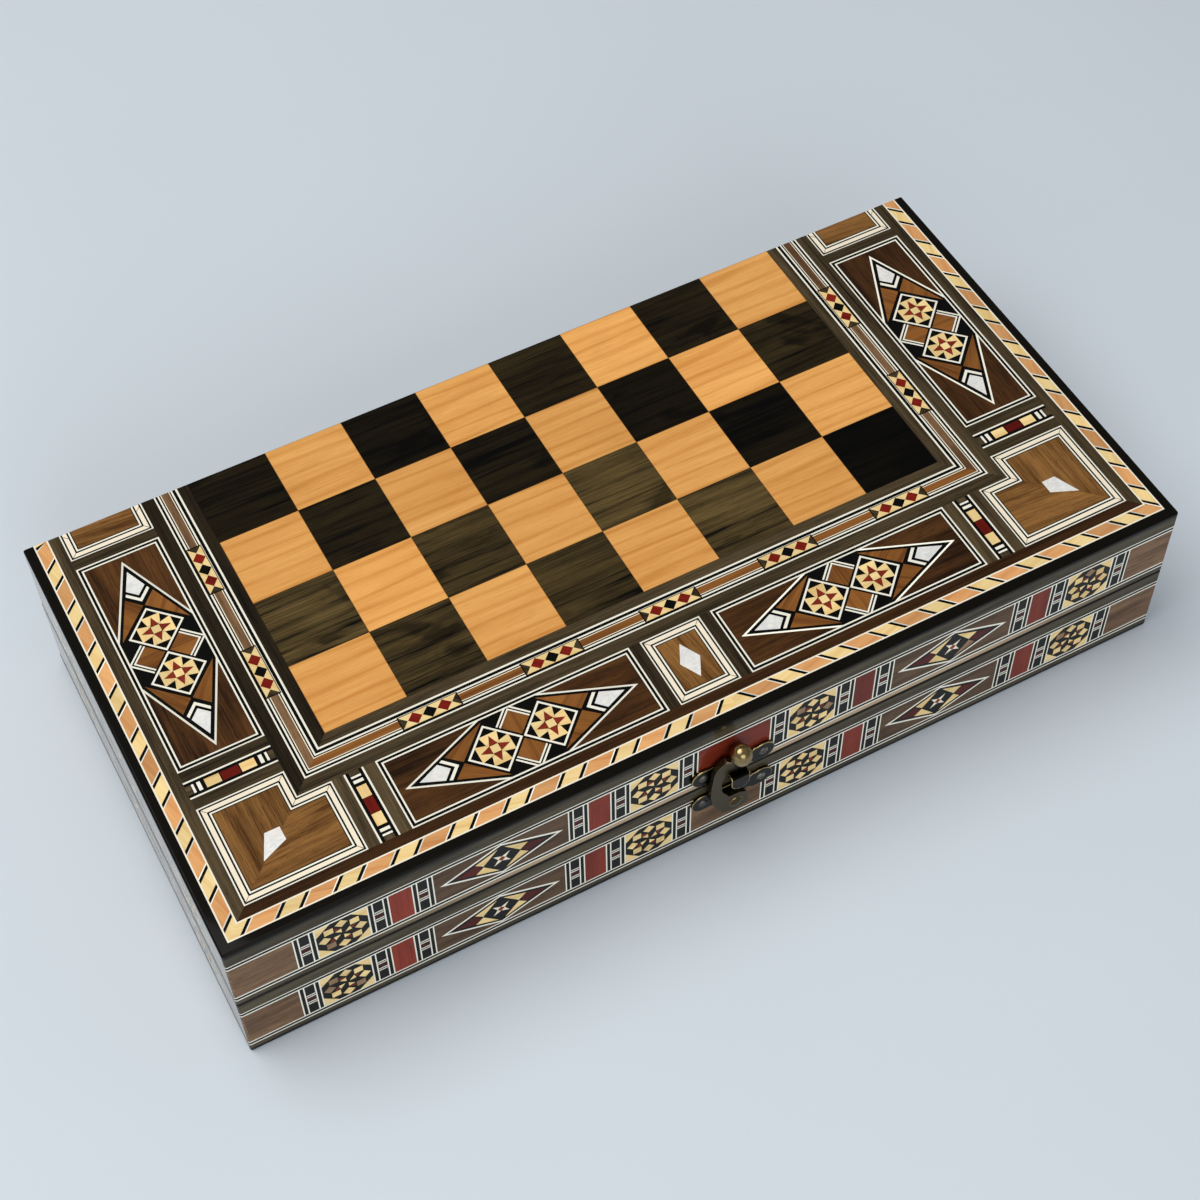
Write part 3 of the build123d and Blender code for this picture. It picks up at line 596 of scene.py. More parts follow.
def cut_rosette(lay, half):
    """A black eight-sided field in a yellow square, with eight small squares in a ring."""
    lay(YELLOW, centred(half, half), 6, tone=0.4)
    side = half - 0.1
    corner = side * (math.sqrt(2) - 1)
    quarter = [(side, corner), (corner, side)]
    lay(EBONY, np.concatenate([turned(quarter, angle) for angle in (0, 90, 180, 270)]), 7)
    pieces = (
        (YELLOW, rectangle(-5.15, -2.5, 2.4, 5.05), {"grain": 45, "kind": None}),
        (YELLOW, diamond(0, 5.3, 1.85, 1.8), {"kind": None}),
        (RED, [(-2.3, 4.0), (-0.25, 3.0), (-2.0, 2.45)], {"kind": 0.5}),
        (YELLOW, [(-2.1, 2.2), (-0.25, 2.7), (-0.2, 0.7)], {"tone": 0.8}),
    )
    for angle in (0, -90, -180, -270):
        for wood, corners, how in pieces:
            lay(wood, turned(corners, angle), 8, **how)


def cut_rhombus_panel(lay, half):
    """A white-edged rhombus with dark red tips, yellow wedges and a small star."""
    tall = half - 0.05
    lay(WALNUT, centred(20.4, half), 5, kind=-1, tone=-1.9)
    lay(BONE, diamond(0, 0, 18.7, tall), 6, tone=0)
    lay(EBONY, diamond(0, 0, 16.75, tall - 0.78), 7)
    tip = [(-14.3, 0), (-8.1, 2.35), (-6.2, 0), (-8.1, -2.35)]
    wedge = [(-8.0, 2.5), (-1.0, 5.6), (-5.6, 0.25)]
    for side in SIDES:
        lay(RED, flipped(tip, side), 8, tone=-1.6)
        for flip in SIDES:
            lay(YELLOW, flipped(wedge, side, flip), 8, kind=None)
    star = np.array([(1.1, 0), (2.5, 2.4), (0, 1.1), (-2.5, 2.4)])
    lay(BONE, np.concatenate([star, -star]), 8, kind=1, tone=0)
    lay(RED, diamond(0, 0, 1.15, 1.15), 9, kind=0.75, tone=0.6)


def cut_red_block(lay, half):
    lay(RED, centred(3.35, half), 6, grain=90, kind=1)


# One wing of an upright strip: its patterns in order, with the length that each takes
LADDER, RED_BLOCK, ROSETTE = (cut_ladder, 6.4), (cut_red_block, 6.7), (cut_rosette, 15.1)
WING = (LADDER, ROSETTE, LADDER, RED_BLOCK, LADDER, (cut_rhombus_panel, 40.8))
WING += (LADDER, RED_BLOCK, LADDER, ROSETTE, LADDER)
STRIP = 19.5
LID_STRIP_IN, BASE_STRIP_IN = 6.3, 3.6
# wood and distances from the edge of the lines along both long edges of a strip
STRIP_LINES = ((BONE, 0, 0.55), (EBONY, 0.55, 1.55), (BONE, 1.55, 2.1))
LINES_WIDE = 2.1
# the strips' rounded corners: radius, depth of the ring's outside, radius of its inside, points
CORNER_RADIUS, CORNER_IN, CORNER_CORE, ARC_POINTS = 0.8, 0.04, 0.05, 9


def cut_strips(cuttings, half, box):
    """The strips along the front and both ends of a tray: plain panels in turn with wings."""
    lid = half == "lid"
    low = box.height - LID_STRIP_IN - STRIP if lid else BASE_STRIP_IN
    motif = STRIP / 2 - LINES_WIDE
    wing = sum(size for _, size in WING)
    shift, gap_half = 1.5 if lid else -0.2, 11.6
    flat, end_flat = box.edge - CORNER_RADIUS, box.depth - CORNER_RADIUS
    wings = [shift - gap_half - wing, shift + gap_half]
    middle = (RED, 1, -0.6) if lid else (WALNUT, -1, -0.6)
    panels = [(WALNUT, -1, 0), middle, (WALNUT, -1, 0)]
    end_strip = (0, end_flat, [(box.depth - wing) / 2], [(WALNUT, -1, None)] * 2)
    for sheet, start, end, wings, panels in (
        (front_sheet(box), -flat, flat, wings, panels),
        (end_sheet(-1, box), *end_strip),
        (end_sheet(1, box), *end_strip),
    ):
        cuttings.sheet = sheet
        lay = laid(cuttings.cut, (0, low + STRIP / 2))
        for wood, near, far in STRIP_LINES:
            line = rectangle(start, end, STRIP / 2 - far, STRIP / 2 - near)
            for flip in SIDES:
                lay(wood, flipped(line, 1, flip), 6, tone=0)
        for (wood, kind, tone), stop in zip(panels, (*wings, end)):
            lay(wood, rectangle(start, stop, -motif, motif), 6, kind=kind, tone=tone)
            start = stop
            for part, size in WING if stop in wings else ():
                part(laid(lay, (start + size / 2, 0)), motif)
                start += size
    cut_strip_corners(cuttings, low, low + STRIP, box)


def cut_strip_corners(cuttings, low, high, box):
    """Quarter rings that carry the strips round the front corners: one arc of points forwards
    and a smaller one back."""
    cuttings.sheet = UPRIGHT_SHEET
    angles = np.radians(np.linspace(180, 270, ARC_POINTS))
    arc = np.stack([np.cos(angles), np.sin(angles)], 1)
    middle = (CORNER_RADIUS - box.edge, CORNER_RADIUS - box.depth / 2)
    ring = np.concatenate([arc * (CORNER_RADIUS - CORNER_IN), arc[::-1] * CORNER_CORE]) + middle
    layers = [(wood, 0, low + near, low + far) for wood, near, far in STRIP_LINES]
    layers += [(wood, 0, high - far, high - near) for wood, near, far in STRIP_LINES]
    layers.append((WALNUT, -1, low + LINES_WIDE, high - LINES_WIDE))
    for side in (1, -1):
        for wood, kind, bottom, top in layers:
            cuttings.cut(wood, flipped(ring, side), kind=kind, tone=0, depths=(bottom, top))


# Meshes
GRAIN_STEP = 300


def prisms(pieces, chance):
    """Closed prisms: each outline's corners at the top depth and again at the back, mapped by
    corner + a * across + b * down + depth * inward, with grain coordinates turned to the
    grain and moved by a random step. Gives points, faces and the values kept on the points."""
    points, faces, values = [], [], []
    count = 0
    by_size = {}
    for piece in pieces:
        by_size.setdefault(len(piece[0]), []).append(piece)
    for sides, group in by_size.items():
        outlines, sheets, tops, backs, angle, tone, kind = map(np.array, zip(*group))
        turned_out = turn_sign(outlines) * np.linalg.det(sheets[:, :3]) > 0
        outlines = np.where(turned_out[:, None, None], outlines[:, ::-1], outlines)
        rings = np.concatenate([outlines, outlines], 1)
        depths = np.repeat(np.stack([tops, backs], 1), sides, 1)
        local = np.concatenate([rings, depths[..., None]], 2)
        points.append(np.einsum("mij,mjk->mik", local, sheets[:, :3]) + sheets[:, 3:])
        cosine, sine = np.cos(np.radians(angle))[:, None], np.sin(np.radians(angle))[:, None]
        along = rings[..., 0] * cosine + rings[..., 1] * sine
        across = rings[..., 1] * cosine - rings[..., 0] * sine
        step = chance.uniform(-GRAIN_STEP, GRAIN_STEP, (len(group), 1, 3))
        grain = np.stack([along, across, depths], 2) + step
        kept = np.repeat(np.stack([tone, kind], 1)[:, None], 2 * sides, 1)
        values.append(np.concatenate([grain, kept], 2).reshape(-1, 5))
        first = count + np.arange(len(group))[:, None] * 2 * sides
        ring = np.arange(sides)[None]
        after = first + (ring + 1) % sides
        faces += (first + ring).tolist() + (first + 2 * sides - 1 - ring).tolist()
        walls = np.stack([first + sides + ring, after + sides, after, first + ring], 2)
        faces += walls.reshape(-1, 4).tolist()
        count += len(group) * 2 * sides
    points = np.concatenate([part.reshape(-1, 3) for part in points]) * MM
    grain, tone, kind = np.split(np.concatenate(values), (3, 4), 1)
    return points, faces, {"grain": grain, "tone": tone, "kind": kind}


def inlay_mesh(name, pieces, chance):
    points, faces, values = prisms(pieces, chance)
    mesh = bpy.data.meshes.new(name)
    mesh.from_pydata(points, [], faces)
    for label, value in values.items():
        kind, key = ("FLOAT_VECTOR", "vector") if label == "grain" else ("FLOAT", "value")
        data = mesh.attributes.new(label, kind, "POINT").data
        data.foreach_set(key, np.ravel(value).astype(np.float32))
    return mesh


def new_piece(name, mesh, material, body, slot, *nodes):
    piece = bpy.data.objects.new(name, mesh)
    bpy.context.scene.collection.objects.link(piece)
    mesh.materials.append(material)
    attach(piece, body)
    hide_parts(*nodes)
    return piece


# Node helpers
class Wire:
    """An output of a node. Sums, differences, products and quotients with it add the nodes
    that work them out: plain maths for values, vector maths for vectors and colours."""

    def __init__(self, socket):
        self.socket, self.tree = socket, socket.id_data

    def __getitem__(self, key):
        """Another output of the same node."""
        return Wire(self.socket.node.outputs[key])

    def __add__(self, other):
        return maths("ADD", self, other)

    def __sub__(self, other):
        return maths("SUBTRACT", self, other)

    def __rsub__(self, other):
        return maths("SUBTRACT", other, self)

    def __mul__(self, other):
        if self.socket.type == "VALUE" or isinstance(other, tuple):
            return maths("MULTIPLY", self, other)
        return scaled(self, other)

    def __truediv__(self, other):
        return maths("DIVIDE", self, other)

    __radd__ = __add__


def fill(node, inputs):
    """Joins wires to a node's inputs and sets the others. Colours get an alpha of one."""
    for key, value in inputs.items():
        socket = node.inputs[key]
        if isinstance(value, Wire):
            node.id_data.links.new(value.socket, socket)
        else:
            socket.default_value = (*value, 1) if socket.type == "RGBA" else value


def add(tree, kind, inputs=(), **settings):
    """Adds a node, and gives the wire of its first output."""
    node = tree.nodes.new(kind)
    for name, value in settings.items():
        setattr(node, name, value)
    fill(node, dict(inputs))
    return Wire(node.outputs[0]) if node.outputs else None


def maths(operation, *values, **settings):
    """Plain maths, or vector maths where the first wire isn't a plain value."""
    wire = next(value for value in values if isinstance(value, Wire))
    kind = "ShaderNodeMath" if wire.socket.type == "VALUE" else "ShaderNodeVectorMath"
    return add(wire.tree, kind, enumerate(values), operation=operation, **settings)


def scaled(vector, factor):
    """A vector or a colour times a value, where one of the two is a wire."""
    tree = (vector if isinstance(vector, Wire) else factor).tree
    return add(tree, "ShaderNodeVectorMath", {0: vector, "Scale": factor}, operation="SCALE")


def noise(place, detail, roughness, distortion=0):
    inputs = {"Vector": place, "Scale": 1, "Detail": detail}
    inputs.update({"Roughness": roughness, "Distortion": distortion})
    return add(place.tree, "ShaderNodeTexNoise", inputs)


def remap(value, low, high, to_low=0, to_high=1):
    inputs = enumerate((value, low, high, to_low, to_high))
    return add(value.tree, "ShaderNodeMapRange", inputs, clamp=True)


def mix(factor, first, second):
    """A colour from the first to the second, as the factor goes from zero to one."""
    return add(factor.tree, "ShaderNodeMix", {0: factor, 6: first, 7: second}, data_type="RGBA")[2]


def split(place):
    """The three coordinates of a place."""
    return add(place.tree, "ShaderNodeSeparateXYZ", {0: place})


def relief(height, strength, distance):
    """A normal that follows a height. The distance is in millimetres."""
    inputs = {"Height": height, "Strength": strength, "Distance": distance * MM}
    return add(height.tree, "ShaderNodeBump", inputs)


def attribute(tree, name, output="Fac"):
    settings = {"attribute_type": "GEOMETRY", "attribute_name": name}
    return add(tree, "ShaderNodeAttribute", **settings)[output]


def object_place(tree):
    """Object coordinates in millimetres."""
    return add(tree, "ShaderNodeTexCoord")["Object"] * (1 / MM)


def new_group(name, inputs, outputs, wiring):
    """The node group of a name. The first call makes it and has its wiring done."""
    tree = bpy.data.node_groups.get(name)
    if not tree:
        tree = bpy.data.node_groups.new(name, "ShaderNodeTree")
        for way, sockets in (("INPUT", inputs), ("OUTPUT", outputs)):
            for label, kind in sockets.items():
                tree.interface.new_socket(label, in_out=way, socket_type=f"NodeSocket{kind}")
        add(tree, "NodeGroupOutput", wiring(tree, add(tree, "NodeGroupInput")))
    return tree


FIGURE = ("Cloud", "Streak", "Line", "Pore")


def wire_figure(tree, given):
    """Wood figure on coordinates in millimetres whose first axis runs along the grain.

    Slow clouds and fibres, which are noises stretched along the grain, are added up. Growth
    lines, the fifth power of a bent wave, are taken off. Short thin pores are cut out where a
    third noise is high."""
    place = given["Place"]
    cloud = noise(place * (0.018, 0.11, 0.3), 3, 0.55, 0.6)
    fibre = noise(place * (0.05, 2.4, 1.2), 4, 0.62)
    pores = noise(place * (0.3, 5.5, 3.0), 1, 0.5)
    wave = {"Scale": 1, "Distortion": 7, "Detail": 2, "Detail Scale": 1.4}
    wave["Vector"] = place * (0.006, 0.062, 0.05)
    form = {"wave_type": "BANDS", "bands_direction": "Y", "wave_profile": "SIN"}
    rings = add(tree, "ShaderNodeTexWave", wave, **form)["Fac"]
    lines = maths("POWER", rings, 5) * given["Line"]
    clouds = (cloud - 0.5) * (given["Cloud"] * 2.6)
    fibres = (fibre - 0.5) * (given["Streak"] * 2.4)
    total = maths("SUBTRACT", 0.58 + clouds + fibres, lines, use_clamp=True)
    hole = remap(pores, 0.6, 0.7) * given["Pore"]
    dim = (1 + given["Tone"] * 0.26) * (1 - hole * 0.55)
    return {
        "Colour": mix(total, given["Deep"], given["Pale"]) * dim,
        "Height": fibre * 0.35 - hole,
        "Gloss": fibre * 0.12 + hole * 0.15,
    }


def wire_wear(tree, given):
    """Fine dust and rubbing: a slow noise with a fast one over it, as a mask for roughness."""
    slow = noise(given["Place"] * 0.05, 3, 0.6)
    fast = noise(given["Place"] * 1.7, 2, 0.6)
    return {"Roughness": given["Base"] + given["Gloss"] + (slow * 0.16 + fast * 0.05)}


def figured(place, pale, deep, figure, tone=0):
    """A wood's colour, height and gloss. The figure is a strength for each of FIGURE."""
    inputs = {"Place": "Vector", "Pale": "Color", "Deep": "Color", "Tone": "Float"}
    inputs.update(dict.fromkeys(FIGURE, "Float"))
    outputs = {"Colour": "Color", "Height": "Float", "Gloss": "Float"}
    group = new_group("Wood figure", inputs, outputs, wire_figure)
    values = {"Place": place, "Pale": pale, "Deep": deep, "Tone": tone, **dict(zip(FIGURE, figure))}
    return add(place.tree, "ShaderNodeGroup", values, node_tree=group)


def new_material(name):
    material = bpy.data.materials.new(name)
    material.use_nodes = True
    return material, material.node_tree, material.node_tree.nodes["Principled BSDF"]


def lacquer(shader, place, wood, colour=None, base=0.24, coat=1, specular=0.03):
    """Satin lacquer over the wood, with the pores left as shallow pits."""
    inputs = {"Place": "Vector", "Gloss": "Float", "Base": "Float"}
    group = new_group("Rubbed lacquer", inputs, {"Roughness": "Float"}, wire_wear)
    values = {"Place": place, "Gloss": wood["Gloss"], "Base": base}
    finish = {
        "Base Color": colour or wood["Colour"],
        "Roughness": add(place.tree, "ShaderNodeGroup", values, node_tree=group),
        "Normal": relief(wood["Height"], 0.05, 0.2),
        "Specular IOR Level": specular,
        "Coat Weight": coat,
        "Coat Roughness": 0.04,
        "Coat IOR": 1.15,
    }
    fill(shader, finish)


def inlay_wood(name, pairs, tone, figure):
    """A wood for the cut pieces, read from their own grain coordinates and tones. The second
    pair of colours is for pieces of kind one, and the third for kind minus one."""
    material, tree, shader = new_material(name)
    place, kind = attribute(tree, "grain", "Vector"), attribute(tree, "kind")
    pale, deep = pairs[0]
    for full, other in zip((1, -1), pairs[1:]):
        share = remap(kind, 0, full)
        pale, deep = mix(share, pale, other[0]), mix(share, deep, other[1])
    lacquer(shader, place, figured(place, pale, deep, figure, attribute(tree, "tone") * tone))
    return material


def solid_wood(name, pale, deep, figure, **finish):
    """A wood for whole solids, read from object coordinates."""
    material, tree, shader = new_material(name)
    place = object_place(tree)
    lacquer(shader, place, figured(place, pale, deep, figure), specular=0.06, **finish)
    return material


# The lid front's pale streak, in millimetres: where it fades in and out along the front, in
# height, and how far in front of the box's middle it lies
STREAK_LEFT, STREAK_RIGHT = (-115, -60), (140, 90)
STREAK_LOW, STREAK_HIGH = (28.7, 29.3), (32, 31)
STREAK_FRONT = -70
# distances from the seam between which the stain of the lip and the painted shade along the seam
# fade
LIP_FADE, SEAM_SHADE_FADE = (25.9, 26.9), (0.35, 1.1)


def rail_wood(name, colours, seam_height, across=False, sap=False):
    """Rail wood that is stained near black on the lip of the outer face and along the seam. Its
    grain runs along the box or across it. The lid's front rail also has a pale streak between
    the seam and the strip, which fades out towards both ends."""
    material, tree, shader = new_material(name)
    place = object_place(tree)
    if across:
        turn = split(place)
        place = add(tree, "ShaderNodeCombineXYZ", {0: turn[1], 1: turn[0], 2: turn[2]})
    result = figured(place, *pair(colours, "rail"), (0.6, 0.6, 0.25, 0.5))
    at = split(object_place(tree))
    wood = result["Colour"]
    if sap:
        ends = remap(at[0], *STREAK_LEFT) * remap(at[0], *STREAK_RIGHT)
        streak = ends * (remap(at[2], *STREAK_LOW) * remap(at[2], *STREAK_HIGH))
        streak = streak * maths("LESS_THAN", at[1], STREAK_FRONT)
        wood = mix(streak * remap(result["Gloss"], 0.02, 0.08, 0.75, 1), wood, tuple(colours.sap))
    from_seam = maths("ABSOLUTE", at[2] - seam_height)
    # lip is the dark stain of the lip; seam is painted shade that darkens the rail towards the seam
    # between the halves
    lip, seam = remap(from_seam, *LIP_FADE), remap(from_seam, *SEAM_SHADE_FADE, 0.85, 0)
    dark = scaled(tuple(colours.lip), remap(result["Height"], -0.5, 0.4, 0.6, 1.3))
    lacquer(shader, place, result, mix(maths("MAXIMUM", lip, seam), wood, dark), base=0.3)
    return material


# What is added to a square's number to draw by, and the reach of the draw in millimetres
SQUARE_SEED, SQUARE_STEP = (73.5, 37.5, 80.5), 900


def square_wood(name, pale, deep, box, tones, stain, figure):
    """One wood for all squares of a colour. The square that a point is in, from the whole
    number of squares along and across and the half that it is on, gives its own piece of figure
    and its own tone. A slow noise leaves dark stains in the wood, down to the stain's share, and
    the joints between squares are dark."""
    material, tree, shader = new_material(name)
    place = object_place(tree)
    shifted = place + (box.squares_half, -box.depth / 2, 1)
    cell = maths("FLOOR", shifted / (box.square, box.square, box.half_height + 1))
    draw = {"Vector": cell + SQUARE_SEED}
    chance = add(tree, "ShaderNodeTexWhiteNoise", draw, noise_dimensions="3D")
    moved = place + chance["Color"] * SQUARE_STEP
    stains = noise(moved * (0.035, 0.06, 0.05), 3, 0.5, 0.8)
    wood = figured(moved, pale, deep, figure, remap(chance["Value"], 0.1, 0.9, *tones))
    inside = split(maths("FRACTION", shifted / (box.square, box.square, 1)))
    near = [maths("MINIMUM", value, 1 - value) for value in (inside[0], inside[1])]
    joint = remap(maths("MINIMUM", *near), 0.003, 0.008, 0.45, 1)
    lacquer(shader, place, wood, wood["Colour"] * (joint * remap(stains, 0.56, 0.64, 1, stain)))
    return material


def pearl_material(ground):
    """Pearl: soft clouds of cream and of grey over a pale ground, with thin growth lines."""
    material, tree, shader = new_material("Mother of pearl")
    place = attribute(tree, "grain", "Vector")
    warm, cool = noise(place * 0.22, 3, 0.5, 1), noise(place * 0.35, 2, 0.5, 2)
    fine = noise(place * (0.25, 0.8, 0.5), 3, 0.6, 1.5)
    shade = mix(remap(warm, 0.35, 0.7), ground, linear(240, 232, 226))
    shade = mix(remap(cool, 0.4, 0.75, 0, 0.7), shade, linear(212, 220, 222))
    finish = {
        "Base Color": shade * remap(fine, 0.3, 0.7, 0.9, 1.04),
        "Roughness": remap(fine, 0.3, 0.7, 0.18, 0.34),
        "Coat Weight": 0.6,
        "Coat Roughness": 0.08,
        "Specular IOR Level": 0.7,
    }
    fill(shader, finish)
    return material


def old_brass(name, bright, patina, amount, rough=(0.34, 0.2), worn=None):
    """Cast brass with a brown skin. It is rubbed through along the rounded edges, where the rub
    value is one, and in a few slow patches and specks elsewhere, and mostly within a reach of a
    worn place."""
    material, tree, shader = new_material(name)
    place = object_place(tree)
    specks = noise(place * 1.6, 3, 0.7)
    mixed = noise(place * 0.16, 4, 0.6, 0.4) * 0.75 + specks * 0.25
    skin = remap(mixed, 0.72 - 0.3 * amount, 0.95 - 0.3 * amount, 0, 0.8)
    edge = attribute(tree, "rub") * remap(specks, 0.25, 0.55, 0.45, 1)
    rubbed = maths("MAXIMUM", skin, edge)
    if worn:
        *centre, reach = worn
        near = remap(maths("DISTANCE", place, centre)["Value"], reach, 0.75 * reach)
        rubbed = maths("MAXIMUM", rubbed, near * remap(mixed, 0.35, 0.6, 0.25, 0.95))
    finish = {
        "Base Color": mix(rubbed, patina, bright),
        "Roughness": remap(rubbed, 0, 1, *rough),
        "Metallic": 1,
        "Normal": relief(specks, 0.2, 0.1),
    }
    fill(shader, finish)
    return material


def softened(node, body, material, width, slot="antique_brass", neck=None):
    """A copy of a metal solid with its sharp edges rounded over. The copy is merged, its flat
    faces are joined again, every edge that bends more than the sharp angle becomes a strip of
    three faces, and those strips keep a rub value of one. The points within a reach of a neck,
    given in millimetres, are drawn in a little, so that the flat facets of a shank stay off the
    flat facets of the hole that turns round it."""
    flat, sharp, smooth = math.radians(1), math.radians(32), math.radians(50)
    mesh = bpy.data.meshes.new(f"{node}_rounded")
    build = bmesh.new()
    build.from_mesh(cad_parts[node].data)
    bmesh.ops.remove_doubles(build, verts=build.verts, dist=0.002 * MM)
    bmesh.ops.dissolve_limit(build, angle_limit=flat, verts=build.verts, edges=build.edges)
    if neck:
        centre, reach = Vector(neck[:3]) * MM, neck[3] * MM
        ring = [vert for vert in build.verts if (vert.co - centre).length < reach]
        space = Matrix.Translation(-centre)
        bmesh.ops.scale(build, vec=(0.95, 1, 0.95), space=space, verts=ring)
    joined = [edge for edge in build.edges if len(edge.link_faces) == 2]
    edges = [edge for edge in joined if edge.calc_face_angle(0) > sharp]
    form = {"segments": 3, "profile": 0.6, "affect": "EDGES", "clamp_overlap": True}
    strips = set(bmesh.ops.bevel(build, geom=edges, offset=width * MM, **form)["faces"])
    rub = [float(face in strips) for face in build.faces]
    build.to_mesh(mesh)
    build.free()
    mesh.attributes.new("rub", "FLOAT", "FACE").data.foreach_set("value", rub)
    mesh.shade_smooth()
    mesh.set_sharp_from_angle(angle=smooth)
    piece = new_piece(f"{node}_rounded", mesh, material, body, slot, node)
    piece.modifiers.new("Flat faces", "WEIGHTED_NORMAL").keep_sharp = True


def dress(material, *names):
    """Gives solids of each half a new finish."""
    for half in HALVES:
        for name in names:
            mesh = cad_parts[f"{half}_{name}"].data
            mesh.materials.clear()
            mesh.materials.append(material)


# Operators
class CHESSBOX_OT_rails(Operator):
    """Finish the rails and the hidden boards"""

    bl_idname = "chessbox.rails"
    bl_label = "Rails and boards"

    def execute(self, context):
        colours = context.scene.chessbox_woods
        seam = context.scene.chessbox_face.half_height / MM
        dress(rail_wood("Rail wood, front and back", colours, seam), "front_rail", "back_rail")
        across = rail_wood("Rail wood, ends", colours, seam, across=True)
        dress(across, "left_rail", "right_rail")
        streaked = rail_wood("Rail wood, lid front", colours, seam, sap=True)
        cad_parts["lid_front_rail"].data.materials[0] = streaked
        figure = (0.4, 0.5, 0.2, 0.2)
        board = solid_wood("Core board", *pair(colours, "board"), figure, base=0.6, coat=0)
        dress(board, "core_panel")
        return {"FINISHED"}


class CHESSBOX_OT_squares(Operator):
    """Finish the light and the dark squares"""

    bl_idname = "chessbox.squares"
    bl_label = "Squares"

    def execute(self, context):
        box = Layout(context.scene.chessbox_face)
        colours = context.scene.chessbox_woods
        for kind, tones, stain, figure in (
            ("light", (-0.45, 0.4), 0.96, (0.4, 0.45, 0.36, 0.2)),
            ("dark", (-3.7, 0.8), 0.35, (0.7, 0.8, 0.3, 0.7)),
        ):
            name = f"{kind.title()} square wood"
            wood = square_wood(name, *pair(colours, kind), box, tones, stain, figure)
            dress(wood, f"{kind}_squares")
        return {"FINISHED"}


REPLACED = ("rope_inlay", "dark_bands", "field_frame", "dividers", "small_strips", "end_panels")
REPLACED += ("long_panels", "corner_panels", "centre_panel", "pearl_inlays", "front_strip")
REPLACED += ("side_strips",)
FIRST_SEED = 5
DEEP_BONE = 0.86


# Each wood's finish, its slot, its kinds' colours, the strength of its tones and its figure
FINISHES = {
    BONE: ("Bone", "bone_inlay", "", 1, (0.3, 0.2, 0, 0.1)),
    EBONY: ("Ebony", "ebony_wood", "ebony", 0.6, (0.6, 0.6, 0.1, 0.3)),
    YELLOW: ("Yellow wood", "yellow_wood", "yellow umber", 0.4, (0.4, 0.5, 0.3, 0.15)),
    BROWN: ("Orange and brown wood", "brown_wood", "orange brown", 0.6, (0.6, 0.5, 0.3, 0.3)),
    RED: ("Red wood and mahogany", "red_wood", "red mahogany", 1.3, (0.5, 0.5, 0.1, 0.4)),
    WALNUT: ("Walnut and burl", "panel_wood", "walnut burl grey", 1, (1, 0.8, 0.2, 1)),
    BAND: ("Dark banding", "band_wood", "band walnut", 1.5, (0.5, 0.8, 0.2, 0.7)),
}


def inlay_finishes(colours):
    """The finish and the record's slot of each wood."""
    shades = tuple(colours.bone), tuple(colours.bone_band)
    bones = [(shade, tuple(DEEP_BONE * value for value in shade)) for shade in shades]
    finishes = {PEARL: (pearl_material(tuple(colours.pearl)), "pearl")}
    for wood, (name, slot, kinds, tone, figure) in FINISHES.items():
        pairs = [pair(colours, kind) for kind in kinds.split()] or bones
        finishes[wood] = (inlay_wood(name, pairs, tone, figure), slot)
    return finishes


class CHESSBOX_OT_inlays(Operator):
    """Cut and lay the inlays of both outer faces and of the upright strips"""

    bl_idname = "chessbox.inlays"
    bl_label = "Inlays"

    def execute(self, context):
        box = Layout(context.scene.chessbox_face)
        finishes = inlay_finishes(context.scene.chessbox_woods)
        for seed, half in enumerate(HALVES, FIRST_SEED):
            cuttings = Cuttings(seed, face_sheet(half, box))
            cut_face(cuttings.cut, box)
            cut_strips(cuttings, half, box)
            nodes = [f"{half}_{name}" for name in REPLACED]
            for wood, pieces in cuttings.woods.items():
                name = f"{half}_{wood}"
                mesh = inlay_mesh(name, pieces, cuttings.chance)
                material, slot = finishes[wood]
                new_piece(name, mesh, material, half, slot, *nodes)
        return {"FINISHED"}


class CHESSBOX_OT_trays(Operator):
    """Finish the tray floors and their points"""

    bl_idname = "chessbox.trays"
    bl_label = "Tray floors and points"

    def execute(self, context):
        colours = context.scene.chessbox_woods
        for name, wood, part, base, figure in (
            ("Tray floor wood", "floor", "floor_veneer", 0.3, (0.9, 0.75, 0.22, 0.7)),
            ("Dark point wood", "dark_point", "dark_points", 0.28, (0.6, 0.6, 0.3, 0.5)),
            ("Light point wood", "light_point", "light_points", 0.28, (0.5, 0.5, 0.3, 0.2)),
        ):
            dress(solid_wood(name, *pair(colours, wood), figure, base=base), part)
        return {"FINISHED"}


# The hook's knob, which hands wear, and the rivet's neck: a place and a reach in millimetres
WORN_KNOB, RIVET_NECK = (1.0, -79.5, 44.5, 5.8), (1.0, -77.55, 17.7, 1.5)


class CHESSBOX_OT_fittings(Operator):
    """Finish the latch, the hinges and the screws"""

    bl_idname = "chessbox.fittings"
    bl_label = "Latch, hinges and screws"

    def execute(self, context):
        metal = context.scene.chessbox_metal
        bright, patina, black, steel, dull = (
            tuple(getattr(metal, name)) for name in MetalColours.__annotations__
        )
        # the plates' near-black skin is partly real and partly a painted dark reflection of the
        # room
        latch = old_brass("Old brass, plates", bright, black, 0.15, (0.26, 0.2))
        hook = old_brass("Old brass, hook", bright, patina, 0.4, (0.3, 0.2), WORN_KNOB)
        hinge = old_brass("Old brass, hinges", bright, patina, 0.75)
        screws = old_brass("Plated screws", steel, dull, 0.9, (0.42, 0.3))
        softened("latch_base_plate", "base", latch, 0.28)
        softened("latch_lid_plate", "lid", latch, 0.28)
        softened("latch_hook", "latch_hook", hook, 0.38)
        softened("latch_rivet", "base", hook, 0.2, neck=RIVET_NECK)
        for side in ("left", "right"):
            softened(f"{side}_hinge_base_leaf", "base", hinge, 0.12)
            softened(f"{side}_hinge_lid_leaf", "lid", hinge, 0.12)
            softened(f"{side}_hinge_pin", "base", hinge, 0.1)
        for half in HALVES:
            softened(f"hinge_{half}_screws", half, screws, 0.06, "screw_steel")
            softened(f"latch_{half}_screws", half, screws, 0.08, "screw_steel")
        return {"FINISHED"}


